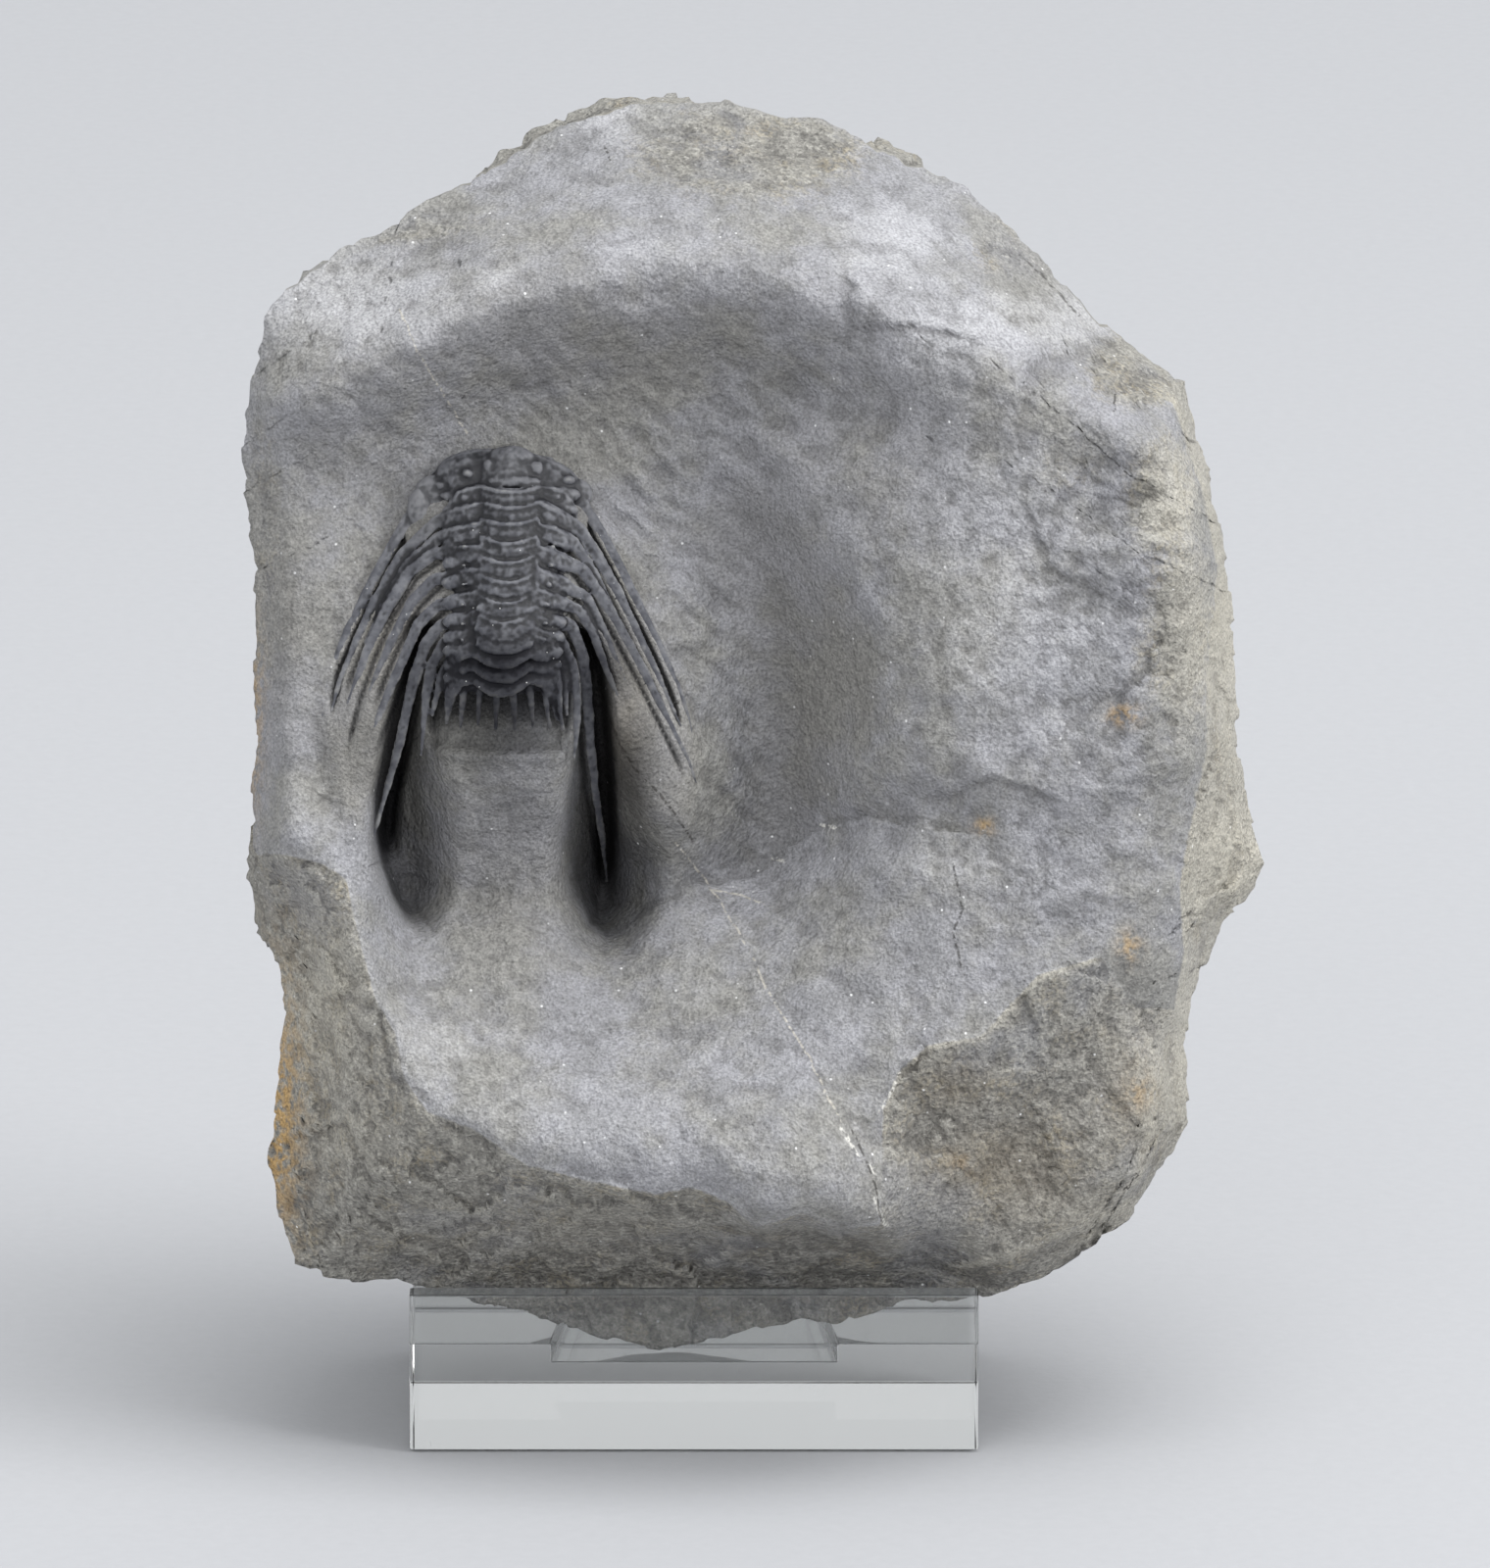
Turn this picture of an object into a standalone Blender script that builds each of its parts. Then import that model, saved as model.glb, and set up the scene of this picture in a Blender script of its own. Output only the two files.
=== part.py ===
"""Spiny trilobite in its limestone matrix, resting on a clear block stand.

Metres, +Z up, front toward -Y, origin at the centre of the stand's underside.
The stone's shape is drawn in a leaning frame: across (x), up (y) and toward the
viewer (z), in millimetres, and turned into the upright frame by leaning().
"""
import math

import bmesh
import bpy
import numpy as np
from mathutils import Matrix, Vector, noise

# Driving dimensions
MM = 0.001
LEAN = math.radians(15.0)
STAND_WIDTH = 0.0600
STAND_DEPTH = 0.0380
STAND_HEIGHT = 0.0170
STAND_FRONT_WALL = 0.0030
STAND_BACK_WALL = 0.0030
CHANNEL_FLOOR = 0.0110
NOTCH_FLOOR = 0.0090
NOTCH_FRONT_WIDTH = 0.0304
NOTCH_BACK_WIDTH = 0.0238
FOSSIL_GAP = 0.0004

# The stone's sides and back in the leaning frame, in millimetres, and the side rings as
# share of the depth and inset
STONE_BACK = -10.5
STONE_CENTRE = (3.0, 76.0)
BACK_LIFT = 0.20
SIDE_RINGS = ((0.15, 0.012), (0.38, 0.040), (0.65, 0.085), (0.88, 0.145), (1.0, 0.215))
SEAT_ROOM = 1.0

# Resolution: cells over the stone's front, triangles and the fossil's grain in metres
COLUMNS = 84
ROWS = 104
STONE_TRIANGLES = 4900
FOSSIL_VOXEL = 0.00030
FOSSIL_TRIANGLES = 3000
SEED_STRIDE = 31.7
TINY = 1e-9

# Unevenness of the stone, as size and depth in millimetres
FRONT_LUMPS = (5.0, 0.5)
FRONT_FACETS = (9.0, 1.1)
PREPARED_SHARE = 0.25
SIDE_LUMPS = (7.0, 0.5)
SIDE_FACETS = (14.0, 1.4)
SIDE_SHARES = (0.7, 0.7, 0.4)
BACK_SWELL = (24.0, 2.6)
BACK_FACETS = (20.0, 2.0)
BACK_LUMPS = (6.0, 0.4)

# Base colours and roughness of the materials
STONE_LOOK = ((0.33, 0.33, 0.34), 0.85)
FOSSIL_LOOK = ((0.13, 0.135, 0.15), 0.55)
STAND_LOOK = ((0.95, 0.97, 0.97), 0.05)

# The block's outline, each side from its first corner on, as across, up, forward
TOP_SIDE = ((-44.8, 121.0, 30), (-38.1, 126.0, 28), (-29.8, 131.1, 26), (-23.6, 133.9, 24),
            (-20.5, 136.0, 22), (-13.8, 140.1, 20), (-6.0, 142.5, 18), (3.3, 142.9, 18),
            (9.5, 141.2, 18), (12.6, 141.4, 18), (16.8, 139.1, 19), (22.4, 136.0, 20),
            (28.6, 133.9, 21), (32.3, 130.5, 22), (40.5, 121.5, 24), (45.7, 116.9, 25),
            (51.9, 112.9, 24))
RIGHT_SIDE = ((51.9, 112.9, 24), (53.2, 107.5, 22), (55.3, 99.8, 18), (57.5, 86.9, 15),
              (57.9, 74.5, 14), (59.0, 67.5, 14), (60.9, 61.8, 14), (58.5, 58.0, 14), (56.0, 55.3, 13),
              (53.4, 48.5, 13), (52.4, 43.4, 13), (52.4, 34.1, 13), (50.0, 30.0, 13), (45.7, 23.8, 14))
BOTTOM_SIDE = ((-42.2, 19.6, 20), (-38.1, 17.6, 19), (-31.9, 17.8, 18), (-23.8, 15.9, 16),
               (-17.9, 14.5, 15.5), (-12.0, 12.6, 15.5), (-7.0, 11.2, 15.5), (-3.4, 10.7, 15.5),
               (3.3, 11.9, 15.5), (11.1, 13.8, 15), (15.7, 12.9, 15), (20.4, 15.3, 15),
               (32.3, 15.8, 14), (36.4, 17.6, 14), (45.7, 23.8, 14))
LEFT_SIDE = ((-44.8, 121.0, 30), (-46.8, 112.2, 30), (-47.7, 104.4, 30), (-46.3, 91.0, 28),
             (-46.5, 77.0, 28), (-46.7, 63.1, 27), (-45.3, 55.3, 25), (-43.2, 47.0, 24),
             (-43.9, 41.0, 23), (-45.1, 30.0, 21), (-43.4, 23.0, 20), (-42.2, 19.6, 20))

# Height lines over the front, as across, up, forward
UPPER_RIDGE = ((-44.0, 110.4, 36), (-38.4, 111.7, 39), (-29.3, 116.4, 41.5), (-20.6, 120.4, 42),
               (-13.5, 122.1, 41.5), (-4.9, 124.7, 40), (1.7, 125.2, 40), (16.8, 121.0, 42),
               (26.0, 117.0, 42), (33.7, 113.2, 42))
TOP_SLOPE = ((-36.0, 119.5, 34.5), (-22.0, 128.0, 33.5), (-8.0, 133.0, 31), (6.0, 133.5, 30),
             (20.0, 128.5, 33), (31.0, 122.0, 35), (42.0, 113.5, 36))
BOWL_BACK = ((-43.0, 103.0, 33), (-35.0, 105.0, 33), (-27.0, 108.5, 32), (-18.0, 112.0, 31.5),
             (-8.0, 113.0, 31), (2.0, 113.5, 31.5), (11.0, 112.0, 33), (20.0, 108.5, 37))
BOWL_FLOOR = ((-32.0, 101.0, 30.5), (-25.0, 105.5, 30), (-19.0, 107.5, 29.5), (-12.0, 106.5, 29),
              (-6.0, 102.0, 28.5))
LEFT_FLANK = ((-43.0, 97.0, 33), (-43.0, 88.0, 33.5), (-43.0, 78.0, 34), (-42.5, 71.0, 35.5),
              (-42.5, 65.5, 37))
GENAL_FEET_LEFT = ((-28.8, 99.5, 31.5), (-33.5, 91.0, 32.5), (-37.0, 83.0, 33), (-39.3, 75.0, 34),
                   (-39.0, 68.5, 35))
FAN_LEFT = ((-26.0, 95.5, 34), (-30.0, 88.5, 35), (-33.0, 82.0, 35), (-35.5, 75.5, 35),
            (-36.0, 70.0, 34.5))
AXIS_BED = ((-19.2, 103.5, 31), (-19.2, 99.0, 33), (-19.2, 94.0, 35.2), (-19.2, 89.0, 37),
            (-19.2, 84.0, 38.5), (-19.2, 80.5, 38.5), (-19.2, 77.0, 37), (-19.2, 73.5, 36))
FAN_RIGHT = ((-12.5, 95.5, 34), (-10.0, 89.0, 35), (-8.0, 83.0, 34.5), (-5.5, 77.0, 33),
             (-3.0, 71.5, 30.5), (-1.0, 66.0, 27.5))
GENAL_FEET_RIGHT = ((-9.5, 98.5, 31.5), (-5.8, 91.0, 31), (-2.2, 83.0, 30), (0.2, 76.0, 28.5),
                    (1.5, 69.5, 26))
TROUGH_SLOPE = ((-4.0, 98.0, 28.5), (0.5, 90.5, 27.5), (3.5, 83.0, 25.5), (5.5, 75.0, 23),
                (6.5, 68.0, 20.5))
TROUGH_FLOOR = ((-1.0, 106.0, 28.5), (5.5, 98.0, 27.5), (8.5, 90.0, 26), (10.5, 82.0, 24),
                (10.5, 74.0, 21.5), (9.0, 67.5, 19.5))
TROUGH_EDGE = ((9.5, 104.5, 33.5), (14.5, 96.5, 35), (19.5, 88.0, 36.5), (22.0, 79.5, 36.5),
               (20.5, 72.0, 34), (16.5, 68.0, 28.5))
VALLEY = ((-30.0, 57.0, 27), (-25.0, 57.5, 26), (-19.0, 59.0, 26), (-13.0, 55.0, 26), (-8.5, 52.0, 26),
          (-3.5, 55.5, 24), (-0.5, 59.0, 21), (6.8, 60.5, 18.5), (10.0, 62.5, 19), (13.7, 65.5, 22),
          (17.8, 66.7, 27), (22.5, 65.0, 31.5), (30.0, 63.5, 35), (38.0, 62.5, 36.5))
LOWER_RISE = ((-30.0, 54.0, 29.5), (-24.0, 54.0, 29), (-18.0, 54.5, 29), (-13.0, 50.8, 28.5),
              (-8.0, 48.5, 29), (-2.0, 51.5, 28), (2.0, 55.0, 25), (8.5, 57.0, 23.5), (13.0, 60.0, 25.5),
              (18.5, 62.3, 31), (24.0, 61.0, 34))
LOWER_ZONE = ((-30.5, 49.0, 33), (-22.0, 45.5, 33), (-12.0, 43.5, 33), (-2.0, 44.5, 32.5),
              (8.0, 47.5, 32.5), (18.0, 51.5, 34), (28.0, 53.5, 36), (38.0, 53.0, 36))
LOWER_LIP = ((-46.3, 62.8, 30), (-43.2, 63.0, 36.5), (-39.0, 62.0, 37.5), (-36.4, 60.4, 37.5),
             (-35.1, 54.5, 37.5), (-33.3, 47.7, 37.5), (-31.2, 44.3, 38), (-30.2, 39.4, 38.5),
             (-27.8, 36.0, 39), (-23.1, 34.3, 39.5), (-17.6, 30.5, 40), (-11.4, 28.9, 40),
             (-4.0, 27.4, 40), (0.0, 28.1, 40), (3.6, 26.6, 40), (6.5, 23.9, 39.5), (11.5, 25.5, 39),
             (15.5, 23.7, 38), (19.6, 24.1, 37))
BROKEN_BAND = ((-42.5, 57.0, 30), (-40.0, 49.0, 30), (-38.5, 40.0, 30), (-37.0, 31.0, 31),
               (-34.0, 26.5, 31), (-25.0, 26.0, 31.5), (-14.0, 24.5, 31), (-3.0, 23.5, 31),
               (7.0, 22.5, 30), (17.0, 22.0, 28))
UNDERSIDE = ((-30.5, 19.3, 19.5), (-20.0, 18.4, 19), (-8.0, 18.0, 18.5), (8.0, 18.0, 18.5),
             (20.0, 18.4, 18.5), (30.5, 18.8, 18))
RIGHT_FIELD = ((24.0, 106.0, 39.5), (35.0, 104.0, 41), (46.0, 101.0, 38.5), (29.0, 92.0, 40.5),
               (42.0, 90.0, 40), (29.0, 80.0, 40), (41.0, 78.0, 38.5), (30.0, 71.0, 38.5),
               (42.0, 67.0, 37))
RIGHT_RIDGE = ((44.0, 110.5, 38), (50.3, 110.5, 33), (53.2, 101.5, 32), (55.0, 93.0, 31),
               (54.0, 83.0, 31.5), (53.8, 73.5, 31), (52.0, 65.5, 31), (51.0, 59.5, 30.5),
               (51.5, 52.5, 28), (50.5, 46.5, 26))
FACET_TOP = ((19.8, 36.0, 37), (21.3, 40.0, 37.5), (24.5, 43.0, 37.5), (30.0, 43.8, 37.5),
             (36.0, 50.3, 36.5), (42.5, 52.2, 34.5))
FACET = ((24.0, 32.0, 34), (34.0, 37.0, 32.5), (43.0, 42.0, 30.5), (27.0, 24.0, 30), (37.0, 29.0, 28.5))
FACET_RIGHT = ((46.2, 47.0, 29.5), (48.6, 41.5, 27), (48.3, 34.0, 25.5), (46.5, 28.5, 24),
               (41.0, 24.0, 23.5), (33.5, 20.7, 24), (28.0, 19.3, 25))
HEIGHT_LINES = (UPPER_RIDGE, TOP_SLOPE, BOWL_BACK, BOWL_FLOOR, LEFT_FLANK, GENAL_FEET_LEFT, FAN_LEFT,
                AXIS_BED, FAN_RIGHT, GENAL_FEET_RIGHT, TROUGH_SLOPE, TROUGH_FLOOR, TROUGH_EDGE, VALLEY,
                LOWER_RISE, LOWER_ZONE, LOWER_LIP, BROKEN_BAND, UNDERSIDE, RIGHT_FIELD, RIGHT_RIDGE,
                FACET_TOP, FACET, FACET_RIGHT)
HEIGHT_SPACING = 2.6

# Areas of broken stone, and ledges as outline and drop, fading out below and to the right
BAND_AREA = LOWER_LIP + FACET_RIGHT[:3:-1] + BOTTOM_SIDE[::-1] + LEFT_SIDE[:4:-1]
FACET_AREA = FACET_TOP + FACET_RIGHT + ((19.6, 24.1, 37),)
RIGHT_AREA = RIGHT_RIDGE + FACET_RIGHT + RIGHT_SIDE[::-1]
BROKEN_AREAS = (BAND_AREA, FACET_AREA, RIGHT_AREA)
LEDGES = (((16.8, 121.5), (17.3, 118.4), (23.0, 118.8), (27.0, 117.5)),
          ((33.7, 107.5), (33.9, 111.6), (36.2, 115.2), (40.0, 116.0)),
          ((43.5, 114.5), (47.0, 114.6), (50.3, 112.2), (51.8, 106.8)),
          ((36.2, 96.8), (37.5, 93.6), (40.3, 92.0)),
          ((48.6, 84.5), (48.0, 82.0), (45.5, 80.3), (45.3, 78.2)),
          ((26.7, 69.5), (31.0, 71.5), (35.5, 69.8)))
LEDGE_DROP = 0.9
LEDGE_EDGE = 0.8
LEDGE_FADE = 5.0

# Pits beside the raised tongue under the fossil's tail, as outline, depth and slope width
PIT_LEFT = ((-29.5, 86.0), (-33.0, 82.0), (-38.0, 72.0), (-38.5, 60.0), (-35.0, 53.5), (-30.5, 53.0),
            (-25.5, 54.0), (-21.6, 59.0), (-21.2, 67.0), (-23.5, 73.0), (-26.0, 78.0), (-26.8, 83.0))
PIT_RIGHT = ((-12.0, 84.0), (-13.6, 77.0), (-15.0, 70.0), (-16.2, 64.0), (-15.8, 57.5), (-13.4, 53.0),
             (-9.8, 50.5), (-5.6, 51.6), (-2.6, 56.5), (-1.8, 62.5), (-4.2, 69.0), (-7.2, 76.0),
             (-9.2, 81.0))
PIT_DEEP = ((-11.6, 82.0), (-13.4, 76.0), (-14.4, 68.0), (-14.6, 60.0), (-12.0, 54.5), (-9.0, 53.5),
            (-6.6, 57.0), (-6.4, 64.0), (-8.0, 72.0), (-9.8, 79.0))
PITS = ((PIT_LEFT, 13.0, 7.5), (PIT_RIGHT, 8.0, 6.0), (PIT_DEEP, 7.0, 3.6))

# The steep left wall of the left pit, from the top down
PIT_WALL = ((-27.0, 89.0), (-28.9, 84.9), (-30.2, 80.1), (-31.9, 74.7), (-33.3, 68.8), (-33.9, 65.4),
            (-33.7, 62.0), (-32.6, 58.6), (-31.0, 55.6), (-28.5, 53.0))
WALL_WIDTH = 1.2

# Recess under the tail, and narrow slots as route, depth, half width and height of the foot
RECESS = ((-28.0, 83.5), (-28.6, 79.0), (-28.2, 73.6), (-20.0, 72.9), (-13.2, 73.2), (-12.6, 78.0),
          (-12.8, 83.5))
RECESS_DEPTH = 4.2
RECESS_WIDTH = 1.2
SLOTS = ((((-28.3, 86.5), (-29.4, 82.5), (-30.9, 76.5), (-32.4, 69.5), (-32.6, 60.0)), 7.0, 1.9, 60.0),
         (((-11.7, 85.6), (-10.7, 83.6), (-9.9, 78.4), (-9.4, 73.2), (-9.3, 66.4), (-9.6, 56.0)),
          10.0, 1.8, 57.0))
SLOT_FADE = 7.0
RECESS_FOOT = 73.5
RECESS_SLOPE = 7.0
RECESS_SHALLOW = 0.35

# The fossil's ribs and spines, from the axis outward to the tip, as across, up
GENAL_LEFT = ((-28.8, 99.9), (-31.5, 95.6), (-34.3, 90.4), (-36.4, 86.2), (-38.1, 82.2), (-38.8, 78.7),
              (-38.9, 76.3))
RIBS_LEFT = (((-22.2, 99.2), (-27.0, 97.8), (-30.6, 94.4), (-33.4, 89.5), (-35.4, 85.3), (-37.2, 80.8),
              (-38.0, 77.8)),
             ((-22.2, 97.0), (-26.6, 96.2), (-29.9, 93.4), (-32.3, 89.4), (-34.4, 85.0)),
             ((-22.0, 94.6), (-27.1, 94.5), (-29.8, 92.5), (-32.3, 88.3), (-34.3, 83.9), (-36.0, 79.1),
              (-37.3, 74.0), (-37.8, 72.3)),
             ((-22.0, 92.2), (-27.1, 91.8), (-29.5, 89.4), (-31.5, 85.6), (-33.3, 81.5), (-35.0, 76.7)),
             ((-22.0, 90.0), (-26.8, 89.0), (-28.9, 87.0), (-30.2, 83.9), (-31.9, 80.1), (-33.6, 75.7),
              (-35.0, 71.9)),
             ((-21.9, 88.0), (-26.4, 87.0), (-28.1, 84.9), (-29.5, 80.5), (-30.8, 74.7), (-32.3, 69.5),
              (-33.8, 64.3)),
             ((-21.7, 86.0), (-26.0, 85.2), (-27.4, 82.8), (-28.1, 79.1), (-28.4, 75.0), (-28.6, 73.2)),
             ((-21.5, 84.3), (-25.3, 83.6), (-26.4, 81.5), (-27.4, 77.4)))
GENAL_RIGHT = ((-11.6, 99.6), (-9.9, 96.9), (-7.9, 93.2), (-5.8, 89.0), (-3.7, 84.9), (-1.8, 80.8),
               (-0.5, 77.0), (-0.2, 74.7))
RIBS_RIGHT = (((-16.2, 99.2), (-12.0, 97.0), (-9.9, 93.8), (-7.5, 89.4), (-5.2, 84.6), (-3.1, 80.1),
               (-1.3, 76.3)),
              ((-16.2, 97.0), (-12.6, 95.6), (-10.3, 92.2), (-8.2, 88.2)),
              ((-16.2, 94.6), (-11.7, 92.8), (-9.6, 89.8), (-7.2, 85.6), (-4.8, 81.2), (-2.7, 77.0),
               (-0.7, 72.9), (0.5, 69.5)),
              ((-16.3, 92.2), (-11.3, 90.0), (-9.2, 85.6), (-7.5, 81.5), (-6.2, 78.4)),
              ((-16.3, 90.0), (-12.0, 88.6), (-10.6, 86.2), (-9.2, 82.5), (-8.0, 79.5)),
              ((-16.5, 88.0), (-12.8, 86.9), (-11.7, 84.2), (-11.2, 80.1), (-10.9, 75.0), (-10.4, 69.8),
               (-9.7, 64.6), (-9.2, 60.0)),
              ((-16.7, 86.0), (-13.7, 84.9), (-12.7, 82.8), (-12.2, 79.1), (-12.3, 75.0), (-12.6, 72.9)),
              ((-16.9, 84.3), (-14.4, 83.4), (-13.5, 81.2), (-13.3, 77.4)))
PYGIDIAL_SPINES = (((-25.2, 82.4), (-25.9, 76.6)), ((-23.9, 81.6), (-24.4, 76.2)),
                   ((-22.3, 81.0), (-22.6, 76.4)), ((-20.6, 80.6), (-20.7, 76.0)),
                   ((-18.9, 80.6), (-18.7, 76.0)), ((-17.2, 81.0), (-16.8, 76.2)),
                   ((-15.7, 81.6), (-15.1, 76.2)), ((-14.4, 82.4), (-13.7, 76.0)))
RING_HEIGHTS = (100.6, 99.0, 97.3, 95.4, 93.4, 91.4, 89.3, 87.3, 85.6, 84.2, 82.8, 81.4)
LONG_RIB = 5
LONG_RIB_DROPS = (4.0, 11.0)

# The fossil's middle line, its head and rings across it and how high they ride over the rock
AXIS_TOP = (-19.0, 103.0)
AXIS_SLANT = -0.05
HEAD_ARCH = ((-26.9, 101.9), (-24.2, 103.2), (-21.8, 103.5), (-19.4, 103.4), (-17.0, 103.0),
             (-14.9, 102.2), (-13.2, 100.9))
HEAD_SIZE = (2.3, 1.0, 0.9)
RING_ARCH = ((-3.1, 0.25), (-1.1, -0.25), (0.0, -0.3), (1.1, -0.25), (3.1, 0.25))
RING_SAG = 0.07
RING_END = ((4.2, 0.15), (5.5, -0.3), (6.4, -1.6), (6.9, -4.4))
RING_HALF = 6.0
RING_FADE = 3.0
RING_SLIM = 0.015
RING_SIZE = (1.0, 0.6, 0.75)
RING_TILT = 24.0
SPINE_TILT = 10.0
SEGMENT_LIFT = ((0.0, 1.6, 3.1, 4.7, 7.0, 10.0), (2.7, 2.5, 1.8, 2.2, 1.6, 1.0))
SPINE_LIFT = (1.1, 0.9)
SPINE_TIP = 0.35
SPINE_STEP = 0.7
BODY_LUMP = (6.4, 1.7, 1.4)
TUBERCLE = (4.9, -0.2, 2.4, 0.55, 0.5, 0.6)
TAIL_SPINE_RISE = 1.5
TAIL_SPINE_DROP = 2.6
TAIL_SPINE_SIZES = (0.55, 0.30)

# Lumps of the head, as across, up, rise over the rock, and radii across, up, forward
HEAD_LUMPS = ((-19.2, 104.3, 2.4, 2.6, 1.6, 1.4), (-18.8, 102.0, 2.5, 2.9, 0.9, 1.0),
              (-24.6, 102.9, 1.6, 2.4, 1.7, 1.3), (-14.2, 101.9, 1.6, 1.9, 1.4, 1.3),
              (-21.4, 103.5, 2.7, 0.9, 1.0, 0.9), (-16.6, 103.2, 2.7, 0.9, 1.0, 0.9),
              (-23.7, 102.9, 3.0, 0.95, 0.85, 1.4), (-13.2, 102.2, 2.9, 0.8, 0.75, 1.3))


def leaning():
    """Matrix from the leaning frame in millimetres to the upright one in metres."""
    up = Vector((0.0, math.sin(LEAN), math.cos(LEAN)))
    forward = Vector((0.0, -math.cos(LEAN), math.sin(LEAN)))
    foot = Vector((0.0, -STAND_DEPTH / 2, 0.0))
    turn = Matrix((Vector((1.0, 0.0, 0.0)), up, forward)).transposed()
    return Matrix.Translation(up * up.dot(foot)) @ (turn * MM).to_4x4()


def sample(line, spacing=None, count=None):
    """Points along a polyline, evenly spaced by their distance across and up."""
    points = np.array(line, dtype=float)
    steps = np.hypot(*np.diff(points[:, :2], axis=0).T)
    reach = np.concatenate(([0.0], np.cumsum(steps)))
    if count is None:
        count = max(2, round(reach[-1] / spacing) + 1)
    at = np.linspace(0.0, reach[-1], count)
    return np.column_stack([np.interp(at, reach, column) for column in points.T])


def rise(value):
    """Smooth step from 0 to 1."""
    value = np.clip(value, 0.0, 1.0)
    return value * value * (3.0 - 2.0 * value)


def near_line(spots, route, closed=False):
    """Distance to a polyline, and which side of its nearest stretch each spot is on."""
    points = np.array(route, dtype=float)
    ends = np.roll(points, -1, axis=0) if closed else points[1:]
    nearest = np.full(len(spots), np.inf)
    side = np.zeros(len(spots))
    for start, end in zip(points, ends):
        along = end - start
        share = np.clip((spots - start) @ along / max(along @ along, TINY), 0.0, 1.0)
        away = spots - start - share[:, None] * along
        distance = np.hypot(*away.T)
        turn = along[0] * away[:, 1] - along[1] * away[:, 0]
        side = np.where(distance < nearest, turn, side)
        nearest = np.minimum(nearest, distance)
    return nearest, side


def depth_inside(spots, outline):
    """Distance to a closed outline, positive inside it."""
    corners = np.array([spot[:2] for spot in outline])
    inside = np.zeros(len(spots), dtype=bool)
    for start, end in zip(corners, np.roll(corners, -1, axis=0)):
        along = end - start
        crosses = (start[1] > spots[:, 1]) != (end[1] > spots[:, 1])
        edge = start[0] + (spots[:, 1] - start[1]) * along[0] / (along[1] or 1.0)
        inside ^= crosses & (spots[:, 0] < edge)
    nearest = near_line(spots, corners, closed=True)[0]
    return np.where(inside, nearest, -nearest)


class Bed:
    """The front's height over the leaning frame, smooth through all the height lines."""

    def __init__(self):
        lines = HEIGHT_LINES + (TOP_SIDE, RIGHT_SIDE, BOTTOM_SIDE, LEFT_SIDE)
        knots = np.concatenate([sample(line, HEIGHT_SPACING) for line in lines])
        keep = np.unique(np.round(knots[:, :2]), axis=0, return_index=True)[1]
        self.knots = knots[keep, :2]
        count = len(keep)
        matrix = np.zeros((count + 3, count + 3))
        matrix[:count, :count] = self.distances(self.knots)
        matrix[:count, count:] = self.plane(self.knots)
        matrix[count:, :count] = matrix[:count, count:].T
        heights = np.concatenate((knots[keep, 2], np.zeros(3)))
        self.weights = np.linalg.solve(matrix, heights)

    def distances(self, spots):
        across, up = (spots[:, None, axis] - self.knots[None, :, axis] for axis in (0, 1))
        return np.hypot(across, up)

    def plane(self, spots):
        return np.column_stack((np.ones(len(spots)), spots))

    def __call__(self, spots):
        spots = np.asarray(spots, dtype=float)
        return np.hstack((self.distances(spots), self.plane(spots))) @ self.weights


def patch(top, right, bottom, left):
    """Grid of points inside four sides, after Coons."""
    across = np.linspace(0.0, 1.0, len(top))[None, :, None]
    down = np.linspace(0.0, 1.0, len(left))[:, None, None]
    level = (1 - down) * top[None] + down * bottom[None]
    upright = (1 - across) * left[:, None] + across * right[:, None]
    corners = ((1 - down) * ((1 - across) * top[0] + across * top[-1])
               + down * ((1 - across) * bottom[0] + across * bottom[-1]))
    return level + upright - corners


def rim_sides(rim):
    """The four sides of a rim that runs top, right, bottom and left."""
    loop = np.concatenate((rim, rim[:1]))
    marks = np.cumsum((0, COLUMNS, ROWS, COLUMNS, ROWS))
    top, right, bottom, left = (loop[a:b + 1] for a, b in zip(marks, marks[1:]))
    return top, right, bottom[::-1], left[::-1]


def lumps(points, size, depth):
    """Rocky unevenness at each point, in lumps of one size and half that size."""
    coarse = [noise.noise(Vector(point) / size) for point in points]
    fine = [noise.noise(Vector(point) / size * 2.0) for point in points]
    return depth * (np.array(coarse) + 0.5 * np.array(fine))


def facets(points, size, depth):
    """Steps and tilts of broken stone, one flat piece to each cell around scattered seeds."""
    levels = []
    for point in points:
        spot = Vector(point) / size
        seed = noise.voronoi(spot)[1][0]
        chance = noise.cell_vector(seed * SEED_STRIDE)
        levels.append(2.0 * (chance - Vector((0.5, 0.5, 0.5))).dot(spot - seed) + chance.x - 0.5)
    return depth * np.array(levels)


def ledge(spots, route):
    """Drop below a chipped line, greatest at the line and gone further down and to the right."""
    distance, side = near_line(spots, route)
    fall = rise(distance / LEDGE_EDGE) * rise(1.0 - distance / LEDGE_FADE)
    return LEDGE_DROP * np.where(side < 0.0, fall, 0.0)


def pit_depth(spots):
    """Depth of the pits, the left one ending at its steep wall."""
    distance, side = near_line(spots, PIT_WALL)
    walled = rise(np.sign(side) * distance / WALL_WIDTH)
    total = np.zeros(len(spots))
    for outline, depth, width in PITS:
        fall = rise(depth_inside(spots, outline) / width)
        total += depth * fall * (walled if outline == PIT_LEFT else 1.0)
    return total


def slot_depth(spots):
    """Depth of the narrow slots beside the long ribs, running out at their foot."""
    total = np.zeros(len(spots))
    for route, depth, width, end in SLOTS:
        fade = rise((spots[:, 1] - end) / SLOT_FADE)
        total += depth * fade * rise(1.0 - near_line(spots, route)[0] / width)
    return total


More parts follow.
